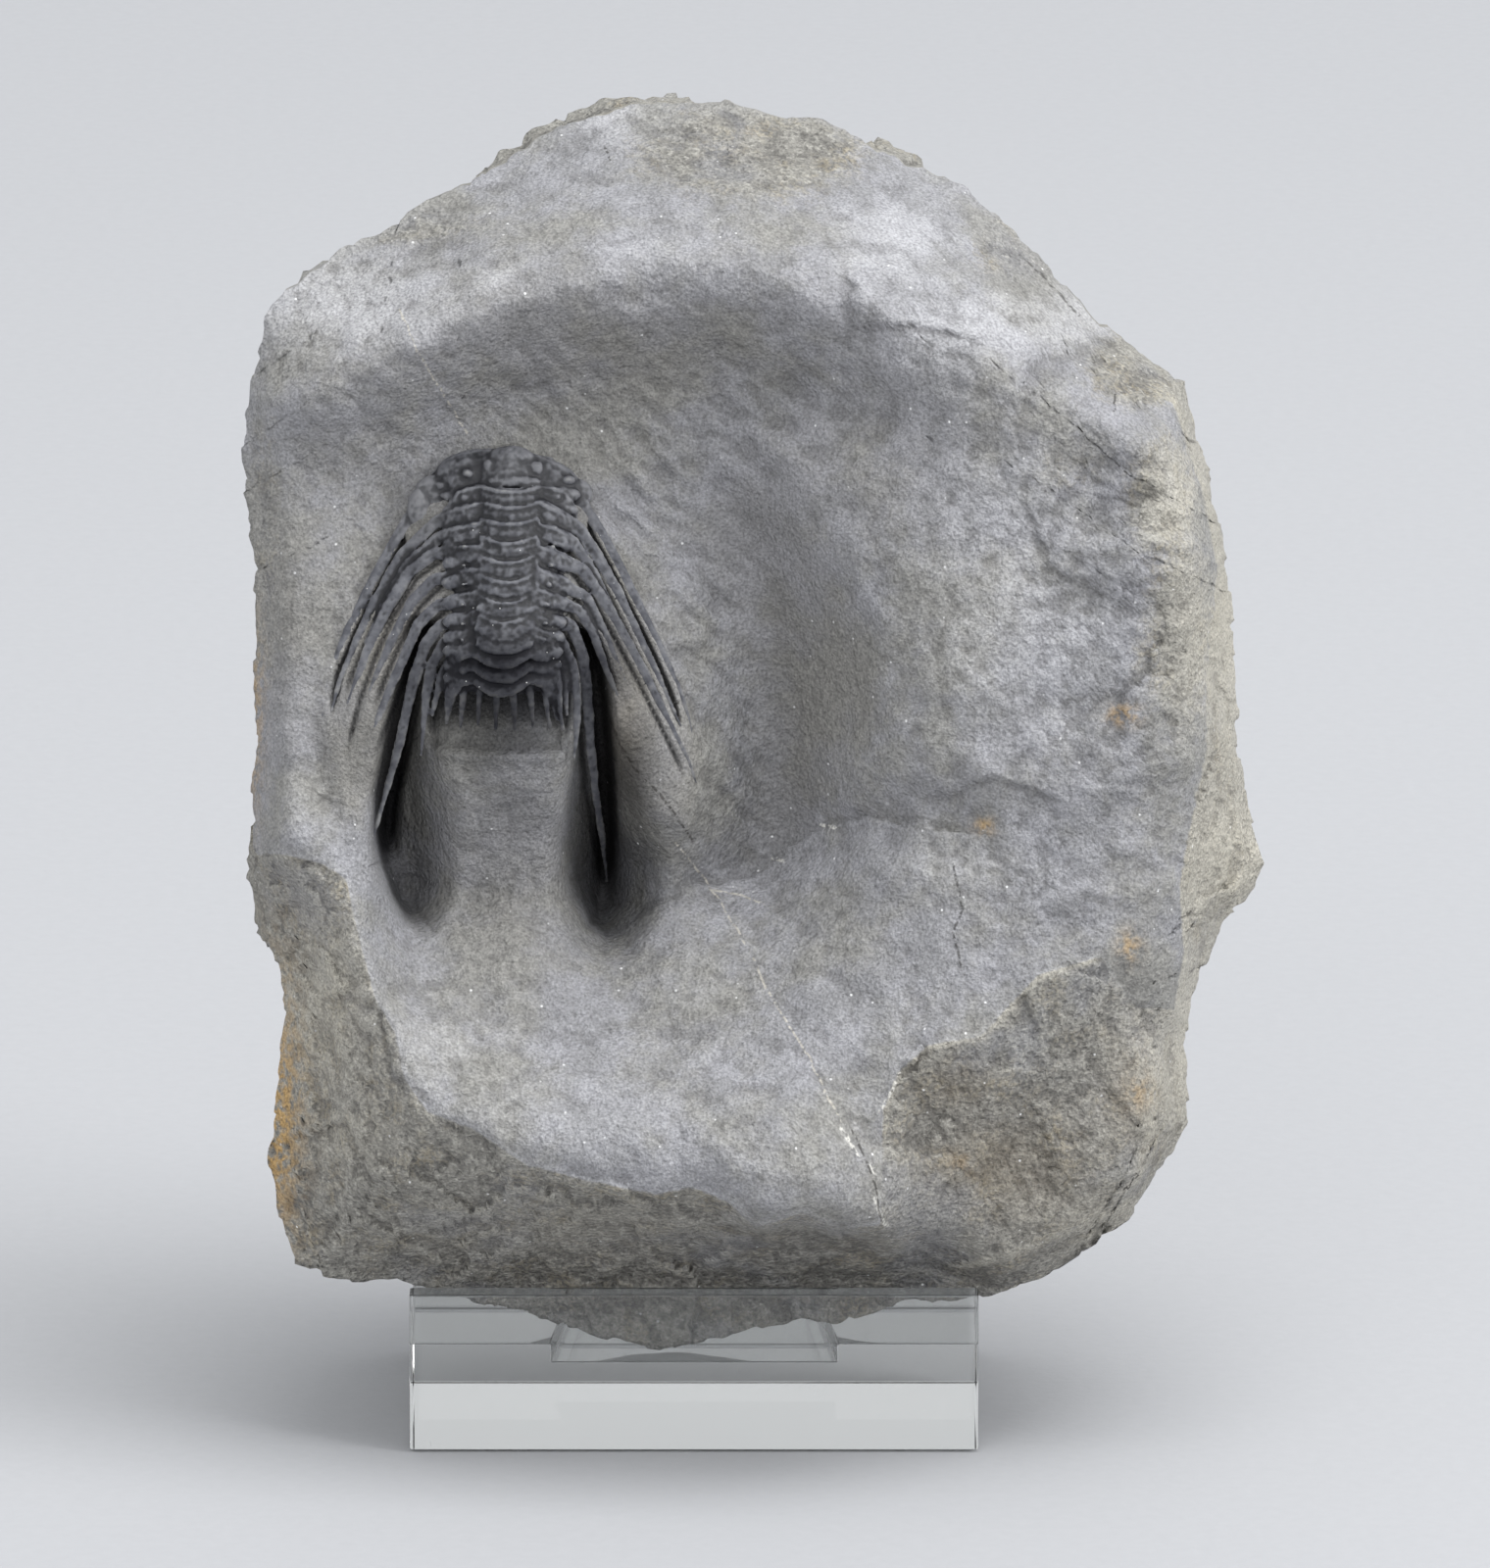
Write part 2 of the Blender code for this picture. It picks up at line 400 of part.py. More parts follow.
def recess_depth(spots):
    """Depth of the recess under the tail, greatest at its head."""
    slant = RECESS_SHALLOW + (1.0 - RECESS_SHALLOW) * rise((spots[:, 1] - RECESS_FOOT) / RECESS_SLOPE)
    return RECESS_DEPTH * slant * rise(depth_inside(spots, RECESS) / RECESS_WIDTH)


def seat(spots, heights):
    """Keep the stone's foot behind the stand's front wall, up to a little over its top."""
    inner = (-STAND_DEPTH / 2 + STAND_FRONT_WALL) / MM + SEAT_ROOM
    level = spots[:, 1] - STAND_DEPTH / 2 / MM * math.sin(LEAN)
    limit = (level * math.sin(LEAN) - inner) / math.cos(LEAN)
    top = level * math.cos(LEAN) + limit * math.sin(LEAN)
    near_stand = np.abs(spots[:, 0]) < STAND_WIDTH / 2 / MM + SEAT_ROOM
    low = (top < STAND_HEIGHT / MM + SEAT_ROOM) & near_stand
    return np.where(low, np.minimum(heights, limit), heights)


def stone_rim():
    sides = (sample(TOP_SIDE, count=COLUMNS + 1)[:-1], sample(RIGHT_SIDE, count=ROWS + 1)[:-1],
             sample(BOTTOM_SIDE, count=COLUMNS + 1)[:0:-1], sample(LEFT_SIDE, count=ROWS + 1)[:0:-1])
    return np.concatenate(sides)


def stone_front(bed, rim):
    """Points of the front sheet, with its pits, ledges and broken areas."""
    front = patch(*rim_sides(rim[:, :2])).reshape(-1, 2)
    heights = bed(front) - pit_depth(front) - slot_depth(front) - recess_depth(front)
    for route in LEDGES:
        heights -= ledge(front, route)
    broken = np.max([rise(depth_inside(front, area)) for area in BROKEN_AREAS], axis=0)
    points = np.column_stack((front, heights))
    uneven = lumps(points, *FRONT_LUMPS) * (PREPARED_SHARE + (1.0 - PREPARED_SHARE) * broken)
    points[:, 2] += uneven + facets(points, *FRONT_FACETS) * broken
    points[:, 2] = seat(front, points[:, 2])
    return points


def stone_shape(bed):
    """Points and faces of the block: front sheet, broken sides and back sheet."""
    rim = stone_rim()
    layers = [stone_front(bed, rim)]
    centre = np.array(STONE_CENTRE)
    for share, inset in SIDE_RINGS:
        depth = (rim[:, 2] - STONE_BACK) * share
        spots = centre + (rim[:, :2] - centre) * (1.0 - inset)
        spots[:, 1] += BACK_LIFT * depth
        ring = np.column_stack((spots, rim[:, 2] - depth))
        uneven = lumps(ring, *SIDE_LUMPS) + facets(ring, *SIDE_FACETS)
        layers.append(ring + uneven[:, None] * np.array(SIDE_SHARES))
    inner = patch(*rim_sides(layers[-1]))[1:-1, 1:-1].reshape(-1, 3)
    inner[:, 2] += lumps(inner, *BACK_SWELL) + facets(inner, *BACK_FACETS) + lumps(inner, *BACK_LUMPS)
    layers.append(inner)
    return np.concatenate(layers), stone_faces()


def stone_faces():
    front = np.arange((ROWS + 1) * (COLUMNS + 1)).reshape(ROWS + 1, COLUMNS + 1)
    edge = np.concatenate((front[0, :-1], front[:-1, -1], front[-1, :0:-1], front[:0:-1, 0]))
    start = front.size
    rings = [edge] + [start + len(edge) * step + np.arange(len(edge)) for step in range(len(SIDE_RINGS))]
    start += len(edge) * len(SIDE_RINGS)
    back = np.zeros_like(front)
    back[1:-1, 1:-1] = start + np.arange((ROWS - 1) * (COLUMNS - 1)).reshape(ROWS - 1, COLUMNS - 1)
    back[0], back[:, -1], back[-1], back[:, 0] = rim_sides(rings[-1])
    faces = []
    for sheet, turn in ((front, 1), (back, -1)):
        quads = np.stack((sheet[:-1, :-1], sheet[1:, :-1], sheet[1:, 1:], sheet[:-1, 1:]), axis=-1)
        faces += quads.reshape(-1, 4)[:, ::turn].tolist()
    for near, far in zip(rings, rings[1:]):
        quads = np.stack((near, np.roll(near, -1), np.roll(far, -1), far), axis=-1)
        faces += quads.tolist()
    return faces


def add_object(name, mesh, look):
    """Link a mesh as a named object with its own material."""
    colour, rough = look
    item = bpy.data.objects.new(name, mesh)
    bpy.context.collection.objects.link(item)
    material = bpy.data.materials.new(name)
    material.use_nodes = True
    shader = material.node_tree.nodes["Principled BSDF"]
    shader.inputs["Base Color"].default_value = (*colour, 1.0)
    shader.inputs["Roughness"].default_value = rough
    mesh.materials.append(material)
    return item


def add_cutter(name, mesh):
    """Link a mesh that only cuts others."""
    item = bpy.data.objects.new(name, mesh)
    bpy.context.collection.objects.link(item)
    item.hide_render = True
    item.display_type = "WIRE"
    return item


def cut_away(item, cutter):
    """Take a cutter's shape out of an object."""
    cut = item.modifiers.new(cutter.name, "BOOLEAN")
    cut.operation = "DIFFERENCE"
    cut.solver = "EXACT"
    cut.object = cutter


def thin_out(item, ratio):
    """Collapse an object's mesh to a share of its triangles."""
    thinner = item.modifiers.new("Thin out", "DECIMATE")
    thinner.ratio = ratio
    thinner.use_collapse_triangulate = True


def triangle_share(item, triangles):
    """What share of an object's evaluated triangles a number of them is."""
    bpy.context.view_layer.update()
    evaluated = item.evaluated_get(bpy.context.evaluated_depsgraph_get())
    return triangles / sum(len(face.vertices) - 2 for face in evaluated.data.polygons)


def add_matrix(bed):
    """Add the block, and a copy of it raised by the gap that the fossil keeps."""
    points, faces = stone_shape(bed)
    mesh = bpy.data.meshes.new("matrix")
    mesh.from_pydata(points.tolist(), [], faces)
    mesh.transform(leaning())
    item = add_object("matrix", mesh, STONE_LOOK)
    cutter = add_cutter("rock_cutter", mesh)
    cutter.location = leaning().to_3x3() @ Vector((0.0, 0.0, FOSSIL_GAP / MM))
    ratio = triangle_share(item, STONE_TRIANGLES)
    thin_out(item, ratio)
    thin_out(cutter, ratio)
    return cutter


def add_ridge(shape, points, half_widths, half_heights, tilts, sides=8):
    """Add a closed tapering ridge of oval section, its hind edge lifted by a tilt."""
    rings = []
    for index, point in enumerate(points):
        along = points[min(index + 1, len(points) - 1)] - points[max(index - 1, 0)]
        along.normalize()
        level = along.cross(Vector((0.0, 0.0, 1.0))).normalized()
        upright = level.cross(along)
        beside = level * math.cos(tilts[index]) + upright * math.sin(tilts[index])
        over = upright * math.cos(tilts[index]) - level * math.sin(tilts[index])
        rings.append([shape.verts.new(point + beside * (half_widths[index] * math.cos(angle))
                                      + over * (half_heights[index] * math.sin(angle)))
                      for angle in np.linspace(0.0, math.tau, sides + 1)[:-1]])
    for near, far in zip(rings, rings[1:]):
        for step in range(sides):
            after = (step + 1) % sides
            shape.faces.new((near[step], near[after], far[after], far[step]))
    shape.faces.new(rings[0][::-1])
    shape.faces.new(rings[-1])


def add_lump(shape, centre, radii):
    place = Matrix.Translation(centre) @ Matrix.Diagonal((*radii, 1.0))
    bmesh.ops.create_icosphere(shape, subdivisions=2, radius=1.0, matrix=place)


def add_segment(shape, bed, left, middle, right, size, drops=(0.0, 0.0)):
    """Add the head or a body ring with its two spines as a single ridge from tip to tip."""
    width, thickness, spine_width = size
    route = np.array(left[::-1] + middle + right)
    steps = np.concatenate(([0.0], np.cumsum(np.hypot(*np.diff(route, axis=0).T))))
    middle_reach = steps[len(left) + len(middle) // 2]
    spots = sample(route, spacing=SPINE_STEP)
    reach = np.linspace(0.0, steps[-1], len(spots)) - middle_reach
    share = np.where(reach < 0.0, reach / -middle_reach, reach / (steps[-1] - middle_reach))
    away = np.abs(reach)
    body = rise(1.0 - (away - RING_HALF) / RING_FADE)
    taper = 1.0 - share ** 2
    spine = SPINE_LIFT[0] + (SPINE_LIFT[1] - SPINE_LIFT[0]) * share
    lift = np.interp(away, *SEGMENT_LIFT) * body + spine * (1.0 - body)
    drop = np.where(reach < 0.0, *drops) * share ** 2
    heights = bed(spots) + lift - drop
    wide = SPINE_TIP + (spine_width + (width - spine_width) * body - SPINE_TIP) * taper
    thick = SPINE_TIP + (thickness - SPINE_TIP) * taper
    tilts = np.radians(SPINE_TILT + (RING_TILT - SPINE_TILT) * body)
    points = [Vector((x, y, z)) for (x, y), z in zip(spots, heights)]
    add_ridge(shape, points, wide, thick, tilts)


def add_body_ring(shape, bed, index, height):
    """Add one ring across the body with its spines, its filling and its two tubercles."""
    slim = 1.0 - RING_SLIM * index
    middle = AXIS_TOP[0] + AXIS_SLANT * (AXIS_TOP[1] - height)
    sag = RING_SAG * index
    end = RING_ARCH[-1][0]
    arch = tuple((middle + across * slim, height + up - sag * (1.0 - (across / end) ** 2))
                 for across, up in RING_ARCH)
    rib = index - 1
    drops = LONG_RIB_DROPS if rib == LONG_RIB else (0.0, 0.0)
    if 0 <= rib < len(RIBS_LEFT):
        left, right = RIBS_LEFT[rib], RIBS_RIGHT[rib]
    else:
        left, right = (tuple((middle + side * across * slim, height + up) for across, up in RING_END)
                       for side in (-1, 1))
    add_segment(shape, bed, left, arch, right, RING_SIZE, drops)
    wide, tall, deep = BODY_LUMP
    add_lump(shape, Vector((middle, height, bed([(middle, height)])[0])), (wide * slim, tall, deep))
    reach, shift, lift, *radii = TUBERCLE
    for side in (-1, 1):
        spot = (middle + side * reach * slim, height + shift)
        add_lump(shape, Vector((*spot, bed([spot])[0] + lift)), radii)


def fossil_shape(bed):
    """All lumps, rings and spines of the fossil, overlapping, in the leaning frame."""
    shape = bmesh.new()
    for x, y, lift, *radii in HEAD_LUMPS:
        add_lump(shape, Vector((x, y, bed([(x, y)])[0] + lift)), radii)
    add_segment(shape, bed, GENAL_LEFT, HEAD_ARCH, GENAL_RIGHT, HEAD_SIZE)
    for index, height in enumerate(RING_HEIGHTS):
        add_body_ring(shape, bed, index, height)
    for start, end in PYGIDIAL_SPINES:
        spots = sample((start, end), spacing=SPINE_STEP)
        share = np.linspace(0.0, 1.0, len(spots))
        heights = bed([start])[0] + TAIL_SPINE_RISE - TAIL_SPINE_DROP * share ** 2
        sizes = np.interp(share, (0.0, 1.0), TAIL_SPINE_SIZES)
        points = [Vector((x, y, z)) for (x, y), z in zip(spots, heights)]
        add_ridge(shape, points, sizes, sizes, np.zeros(len(points)))
    bmesh.ops.recalc_face_normals(shape, faces=shape.faces)
    return shape


def add_trilobite(bed, rock_cutter):
    shape = fossil_shape(bed)
    mesh = bpy.data.meshes.new("trilobite")
    shape.to_mesh(mesh)
    shape.free()
    mesh.transform(leaning())
    item = add_object("trilobite", mesh, FOSSIL_LOOK)
    fuse = item.modifiers.new("Fuse", "REMESH")
    fuse.mode = "VOXEL"
    fuse.voxel_size = FOSSIL_VOXEL
    thin_out(item, triangle_share(item, FOSSIL_TRIANGLES))
    cut_away(item, rock_cutter)
    keep_largest(item)


def keep_largest(item):
    """Apply an object's modifiers and drop the specks that a cut leaves beside the main piece."""
    evaluated = item.evaluated_get(bpy.context.evaluated_depsgraph_get())
    shape = bmesh.new()
    shape.from_mesh(evaluated.data)
    left = set(shape.verts)
    pieces = []
    while left:
        piece = {left.pop()}
        border = list(piece)
        while border:
            for edge in border.pop().link_edges:
                for vert in edge.verts:
                    if vert in left:
                        left.remove(vert)
                        piece.add(vert)
                        border.append(vert)
        pieces.append(piece)
    largest = max(pieces, key=len)
    specks = [vert for vert in shape.verts if vert not in largest]
    bmesh.ops.delete(shape, geom=specks, context="VERTS")
    item.modifiers.clear()
    shape.to_mesh(item.data)
    shape.free()


def extruded(name, corners, way):
    """Mesh of a flat outline drawn out along a way."""
    shape = bmesh.new()
    end = shape.faces.new([shape.verts.new(corner) for corner in corners])
    drawn = bmesh.ops.extrude_face_region(shape, geom=[end])["geom"]
    moved = [part for part in drawn if isinstance(part, bmesh.types.BMVert)]
    bmesh.ops.translate(shape, verts=moved, vec=way)
    bmesh.ops.recalc_face_normals(shape, faces=shape.faces)
    mesh = bpy.data.meshes.new(name)
    shape.to_mesh(mesh)
    shape.free()
    return mesh


def add_stand():
    """Block with a channel along its top and a deeper tapering notch in the middle."""
    front, back = -STAND_DEPTH / 2, STAND_DEPTH / 2
    near, far = front + STAND_FRONT_WALL, back - STAND_BACK_WALL
    profile = ((front, 0.0), (back, 0.0), (back, STAND_HEIGHT), (far, STAND_HEIGHT),
               (far, CHANNEL_FLOOR), (near, CHANNEL_FLOOR), (near, STAND_HEIGHT), (front, STAND_HEIGHT))
    corners = [(-STAND_WIDTH / 2, y, z) for y, z in profile]
    item = add_object("stand", extruded("stand", corners, (STAND_WIDTH, 0.0, 0.0)), STAND_LOOK)
    corners = ((-NOTCH_FRONT_WIDTH / 2, near, NOTCH_FLOOR), (NOTCH_FRONT_WIDTH / 2, near, NOTCH_FLOOR),
               (NOTCH_BACK_WIDTH / 2, far, NOTCH_FLOOR), (-NOTCH_BACK_WIDTH / 2, far, NOTCH_FLOOR))
    notch = extruded("notch_cutter", corners, (0.0, 0.0, STAND_HEIGHT))
    cut_away(item, add_cutter("notch_cutter", notch))


def main():
    for item in list(bpy.data.objects):
        bpy.data.objects.remove(item, do_unlink=True)
    bed = Bed()
    rock_cutter = add_matrix(bed)
    add_trilobite(bed, rock_cutter)
    add_stand()


main()
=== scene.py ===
"""Looks of the spiny trilobite in its limestone block on a clear stand.

The rock and the fossil are built again here at fine resolution from the same named
heights as the solids. They are drawn in a leaning frame that faces the camera: across,
up and forward in millimetres, turned upright by leaning().
"""
import math

import bmesh
import bpy
import numpy as np
from mathutils import Matrix, Vector, noise


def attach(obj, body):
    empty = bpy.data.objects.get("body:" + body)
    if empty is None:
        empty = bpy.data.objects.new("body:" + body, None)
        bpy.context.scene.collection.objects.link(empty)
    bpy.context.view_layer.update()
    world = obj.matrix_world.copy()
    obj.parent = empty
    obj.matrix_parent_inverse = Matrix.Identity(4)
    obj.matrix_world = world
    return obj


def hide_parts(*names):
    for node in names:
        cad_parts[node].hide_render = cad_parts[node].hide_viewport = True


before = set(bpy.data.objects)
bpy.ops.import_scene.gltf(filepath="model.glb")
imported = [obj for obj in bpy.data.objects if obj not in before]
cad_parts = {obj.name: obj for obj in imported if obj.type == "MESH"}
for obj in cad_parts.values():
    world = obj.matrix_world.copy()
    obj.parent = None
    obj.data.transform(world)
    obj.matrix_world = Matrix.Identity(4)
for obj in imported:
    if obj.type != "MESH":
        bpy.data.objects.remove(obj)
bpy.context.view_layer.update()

# Sizes of the solids, in metres
MM = 0.001
STAND_WIDTH = 0.0600
STAND_DEPTH = 0.0380
STAND_HEIGHT = 0.0170
STAND_FRONT_WALL = 0.0030
STAND_BACK_WALL = 0.0030
CHANNEL_FLOOR = 0.0110
NOTCH_FLOOR = 0.0090
NOTCH_FRONT_WIDTH = 0.0304
NOTCH_BACK_WIDTH = 0.0238
STAND_BEVEL = 0.00020

# The stand's clear plastic: its colour, the colour and density inside it, and how it bends light
CLEAR_TINT = (0.97, 0.98, 0.98, 1.0)
CLEAR_DEPTH = (0.83, 0.83, 0.825, 1.0)
CLEAR_DENSITY = 54.0
CLEAR_INDEX = 1.49

# The leaning frame and the stone's sides and back, in millimetres. The rim is evened over so
# many neighbours on both sides, and the sides stay plain below a height, where the stand is.
LEAN = math.radians(15.0)
SEAT_ROOM = 1.0
STONE_BACK = -10.5
STONE_CENTRE = (3.0, 76.0)
BACK_LIFT = 0.20
BACK_INSET = 0.215
SIDE_STEPS = 14
RIM_EVEN = 14
EDGE_ROUND = 1.6
SIDE_ROOM = 1.4
BACK_ROOM = 0.3
FRONT_ROOM = 6.0
STAND_CLEAR = (22.0, 12.0)

# Resolution: cells over the front, crowded around the fossil as shares across and down
COLUMNS = 240
ROWS = 297
BACK_STRIDE = 3
FINE_ACROSS = (0.04, 0.50)
FINE_DOWN = (0.11, 0.70)
CROWDING = 1.0
CROWD_FADE = 0.06
CROWD_STEPS = 401
CHUNK = 8000
TINY = 1e-9
FOSSIL_VOXEL = 0.00018

# Camera: the photo's size, where it shows the middle of the stand's foot, its scale at a
# plane so far forward, and a far viewpoint
PHOTO_SIZE = (1520.0, 1600.0)
PHOTO_FOOT = (708.0, 1480.0)
PIXELS_PER_MM = 9.67
CAMERA_PLANE = 20.0
CAMERA_DISTANCE = 2.2
FLOOR_HALF = 3.0
FLOOR_LEVEL = -0.0003

# Lights as name, place, target, size and power, and the sky's colour and strength
LIGHTS = (
    ("overhead", (0.45, -0.20, 2.40), (0.0, 0.0, 0.05), 1.6, 41.0),
    ("right_window", (1.70, -0.70, 1.00), (0.0, 0.0, 0.06), 0.9, 24.0),
    ("front_fill", (-0.50, -1.90, 0.90), (0.0, 0.0, 0.06), 1.6, 12.0))
SKY = (0.96, 0.98, 1.0, 1.0)
SKY_STRENGTH = 0.88

# The block's outline, each side from its first corner on, as across, up, forward
TOP_SIDE = (
    (-44.8, 121, 30), (-38.1, 126, 28), (-29.8, 131.1, 26), (-23.6, 133.9, 24), (-20.5, 136, 22),
    (-13.8, 140.1, 20), (-6, 142.5, 18), (3.3, 142.9, 18), (9.5, 141.2, 18), (12.6, 141.4, 18),
    (16.8, 139.1, 19), (22.4, 136, 20), (28.6, 133.9, 21), (32.3, 130.5, 22), (40.5, 121.5, 24),
    (45.7, 116.9, 25), (51.9, 112.9, 24))
RIGHT_SIDE = (
    (51.9, 112.9, 24), (53.2, 107.5, 22), (55.3, 99.8, 18), (57.5, 86.9, 15), (57.9, 74.5, 14),
    (59, 67.5, 14), (60.9, 61.8, 14), (58.5, 58, 14), (56, 55.3, 13), (53.4, 48.5, 13), (52.4, 43.4, 13),
    (52.4, 34.1, 13), (50, 30, 13), (45.7, 23.8, 14))
BOTTOM_SIDE = (
    (-42.2, 19.6, 20), (-38.1, 17.6, 19), (-31.9, 17.8, 18), (-23.8, 15.9, 16), (-17.9, 14.5, 15.5),
    (-12, 12.6, 15.5), (-7, 11.2, 15.5), (-3.4, 10.7, 15.5), (3.3, 11.9, 15.5), (11.1, 13.8, 15),
    (15.7, 12.9, 15), (20.4, 15.3, 15), (32.3, 15.8, 14), (36.4, 17.6, 14), (45.7, 23.8, 14))
LEFT_SIDE = (
    (-44.8, 121, 30), (-46.8, 112.2, 30), (-47.7, 104.4, 30), (-46.3, 91, 28), (-46.5, 77, 28),
    (-46.7, 63.1, 27), (-45.3, 55.3, 25), (-43.2, 47, 24), (-43.9, 41, 23), (-45.1, 30, 21),
    (-43.4, 23, 20), (-42.2, 19.6, 20))

# Height lines over the front, as across, up, forward
UPPER_RIDGE = (
    (-44, 110.4, 36), (-38.4, 111.7, 39), (-29.3, 116.4, 41.5), (-20.6, 120.4, 42), (-13.5, 122.1, 41.5),
    (-4.9, 124.7, 40), (1.7, 125.2, 40), (16.8, 121, 42), (26, 117, 42), (33.7, 113.2, 42))
TOP_SLOPE = (
    (-36, 119.5, 34.5), (-22, 128, 33.5), (-8, 133, 31), (6, 133.5, 30), (20, 128.5, 33), (31, 122, 35),
    (42, 113.5, 36))
BOWL_BACK = (
    (-43, 103, 33), (-35, 105, 33), (-27, 108.5, 32), (-18, 112, 31.5), (-8, 113, 31), (2, 113.5, 31.5),
    (11, 112, 33), (20, 108.5, 37))
BOWL_FLOOR = ((-32, 101, 30.5), (-25, 105.5, 30), (-19, 107.5, 29.5), (-12, 106.5, 29), (-6, 102, 28.5))
LEFT_FLANK = ((-43, 97, 33), (-43, 88, 33.5), (-43, 78, 34), (-42.5, 71, 35.5), (-42.5, 65.5, 37))
GENAL_FEET_LEFT = (
    (-28.8, 99.5, 31.5), (-33.5, 91, 32.5), (-37, 83, 33), (-39.3, 75, 34), (-39, 68.5, 35))
FAN_LEFT = ((-26, 95.5, 34), (-30, 88.5, 35), (-33, 82, 35), (-35.5, 75.5, 35), (-36, 70, 34.5))
AXIS_BED = (
    (-19.2, 103.5, 31), (-19.2, 99, 33), (-19.2, 94, 35.2), (-19.2, 89, 37), (-19.2, 84, 38.5),
    (-19.2, 80.5, 38.5), (-19.2, 77, 37), (-19.2, 73.5, 36))
FAN_RIGHT = (
    (-12.5, 95.5, 34), (-10, 89, 35), (-8, 83, 34.5), (-5.5, 77, 33), (-3, 71.5, 30.5), (-1, 66, 27.5))
GENAL_FEET_RIGHT = ((-9.5, 98.5, 31.5), (-5.8, 91, 31), (-2.2, 83, 30), (0.2, 76, 28.5), (1.5, 69.5, 26))
TROUGH_SLOPE = ((-4, 98, 28.5), (0.5, 90.5, 27.5), (3.5, 83, 25.5), (5.5, 75, 23), (6.5, 68, 20.5))
TROUGH_FLOOR = (
    (-1, 106, 28.5), (5.5, 98, 27.5), (8.5, 90, 26), (10.5, 82, 24), (10.5, 74, 21.5), (9, 67.5, 19.5))
TROUGH_EDGE = (
    (9.5, 104.5, 33.5), (14.5, 96.5, 35), (19.5, 88, 36.5), (22, 79.5, 36.5), (20.5, 72, 34),
    (16.5, 68, 28.5))
VALLEY = (
    (-30, 57, 27), (-25, 57.5, 26), (-19, 59, 26), (-13, 55, 26), (-8.5, 52, 26), (-3.5, 55.5, 24),
    (-0.5, 59, 21), (6.8, 60.5, 18.5), (10, 62.5, 19), (13.7, 65.5, 22), (17.8, 66.7, 27),
    (22.5, 65, 31.5), (30, 63.5, 35), (38, 62.5, 36.5))
LOWER_RISE = (
    (-30, 54, 29.5), (-24, 54, 29), (-18, 54.5, 29), (-13, 50.8, 28.5), (-8, 48.5, 29), (-2, 51.5, 28),
    (2, 55, 25), (8.5, 57, 23.5), (13, 60, 25.5), (18.5, 62.3, 31), (24, 61, 34))
LOWER_ZONE = (
    (-30.5, 49, 33), (-22, 45.5, 33), (-12, 43.5, 33), (-2, 44.5, 32.5), (8, 47.5, 32.5), (18, 51.5, 34),
    (28, 53.5, 36), (38, 53, 36))
LOWER_LIP = (
    (-46.3, 62.8, 30), (-43.2, 63, 36.5), (-39, 62, 37.5), (-36.4, 60.4, 37.5), (-35.1, 54.5, 37.5),
    (-33.3, 47.7, 37.5), (-31.2, 44.3, 38), (-30.2, 39.4, 38.5), (-27.8, 36, 39), (-23.1, 34.3, 39.5),
    (-17.6, 30.5, 40), (-11.4, 28.9, 40), (-4, 27.4, 40), (0, 28.1, 40), (3.6, 26.6, 40),
    (6.5, 23.9, 39.5), (11.5, 25.5, 39), (15.5, 23.7, 38), (19.6, 24.1, 37))
BROKEN_BAND = (
    (-42.5, 57, 30), (-40, 49, 30), (-38.5, 40, 30), (-37, 31, 31), (-34, 26.5, 31), (-25, 26, 31.5),
    (-14, 24.5, 31), (-3, 23.5, 31), (7, 22.5, 30), (17, 22, 28))
UNDERSIDE = (
    (-30.5, 19.3, 19.5), (-20, 18.4, 19), (-8, 18, 18.5), (8, 18, 18.5), (20, 18.4, 18.5),
    (30.5, 18.8, 18))
RIGHT_FIELD = (
    (24, 106, 39.5), (35, 104, 41), (46, 101, 38.5), (29, 92, 40.5), (42, 90, 40), (29, 80, 40),
    (41, 78, 38.5), (30, 71, 38.5), (42, 67, 37))
RIGHT_RIDGE = (
    (44, 110.5, 38), (50.3, 110.5, 33), (53.2, 101.5, 32), (55, 93, 31), (54, 83, 31.5),
    (53.8, 73.5, 31), (52, 65.5, 31), (51, 59.5, 30.5), (51.5, 52.5, 28), (50.5, 46.5, 26))
FACET_TOP = (
    (19.8, 36, 37), (21.3, 40, 37.5), (24.5, 43, 37.5), (30, 43.8, 37.5), (36, 50.3, 36.5),
    (42.5, 52.2, 34.5))
FACET = ((24, 32, 34), (34, 37, 32.5), (43, 42, 30.5), (27, 24, 30), (37, 29, 28.5))
FACET_RIGHT = (
    (46.2, 47, 29.5), (48.6, 41.5, 27), (48.3, 34, 25.5), (46.5, 28.5, 24), (41, 24, 23.5),
    (33.5, 20.7, 24), (28, 19.3, 25))
HEIGHT_LINES = (
    UPPER_RIDGE, TOP_SLOPE, BOWL_BACK, BOWL_FLOOR, LEFT_FLANK, GENAL_FEET_LEFT, FAN_LEFT, AXIS_BED,
    FAN_RIGHT, GENAL_FEET_RIGHT, TROUGH_SLOPE, TROUGH_FLOOR, TROUGH_EDGE, VALLEY, LOWER_RISE, LOWER_ZONE,
    LOWER_LIP, BROKEN_BAND, UNDERSIDE, RIGHT_FIELD, RIGHT_RIDGE, FACET_TOP, FACET, FACET_RIGHT)
HEIGHT_SPACING = 2.6

# Areas of broken stone
BAND_AREA = LOWER_LIP + FACET_RIGHT[:3:-1] + BOTTOM_SIDE[::-1] + LEFT_SIDE[:4:-1]
FACET_AREA = FACET_TOP + FACET_RIGHT + ((19.6, 24.1, 37),)
RIGHT_AREA = RIGHT_RIDGE + FACET_RIGHT + RIGHT_SIDE[::-1]
BROKEN_AREAS = (BAND_AREA, FACET_AREA, RIGHT_AREA)
EDGE_REACH = 0.9

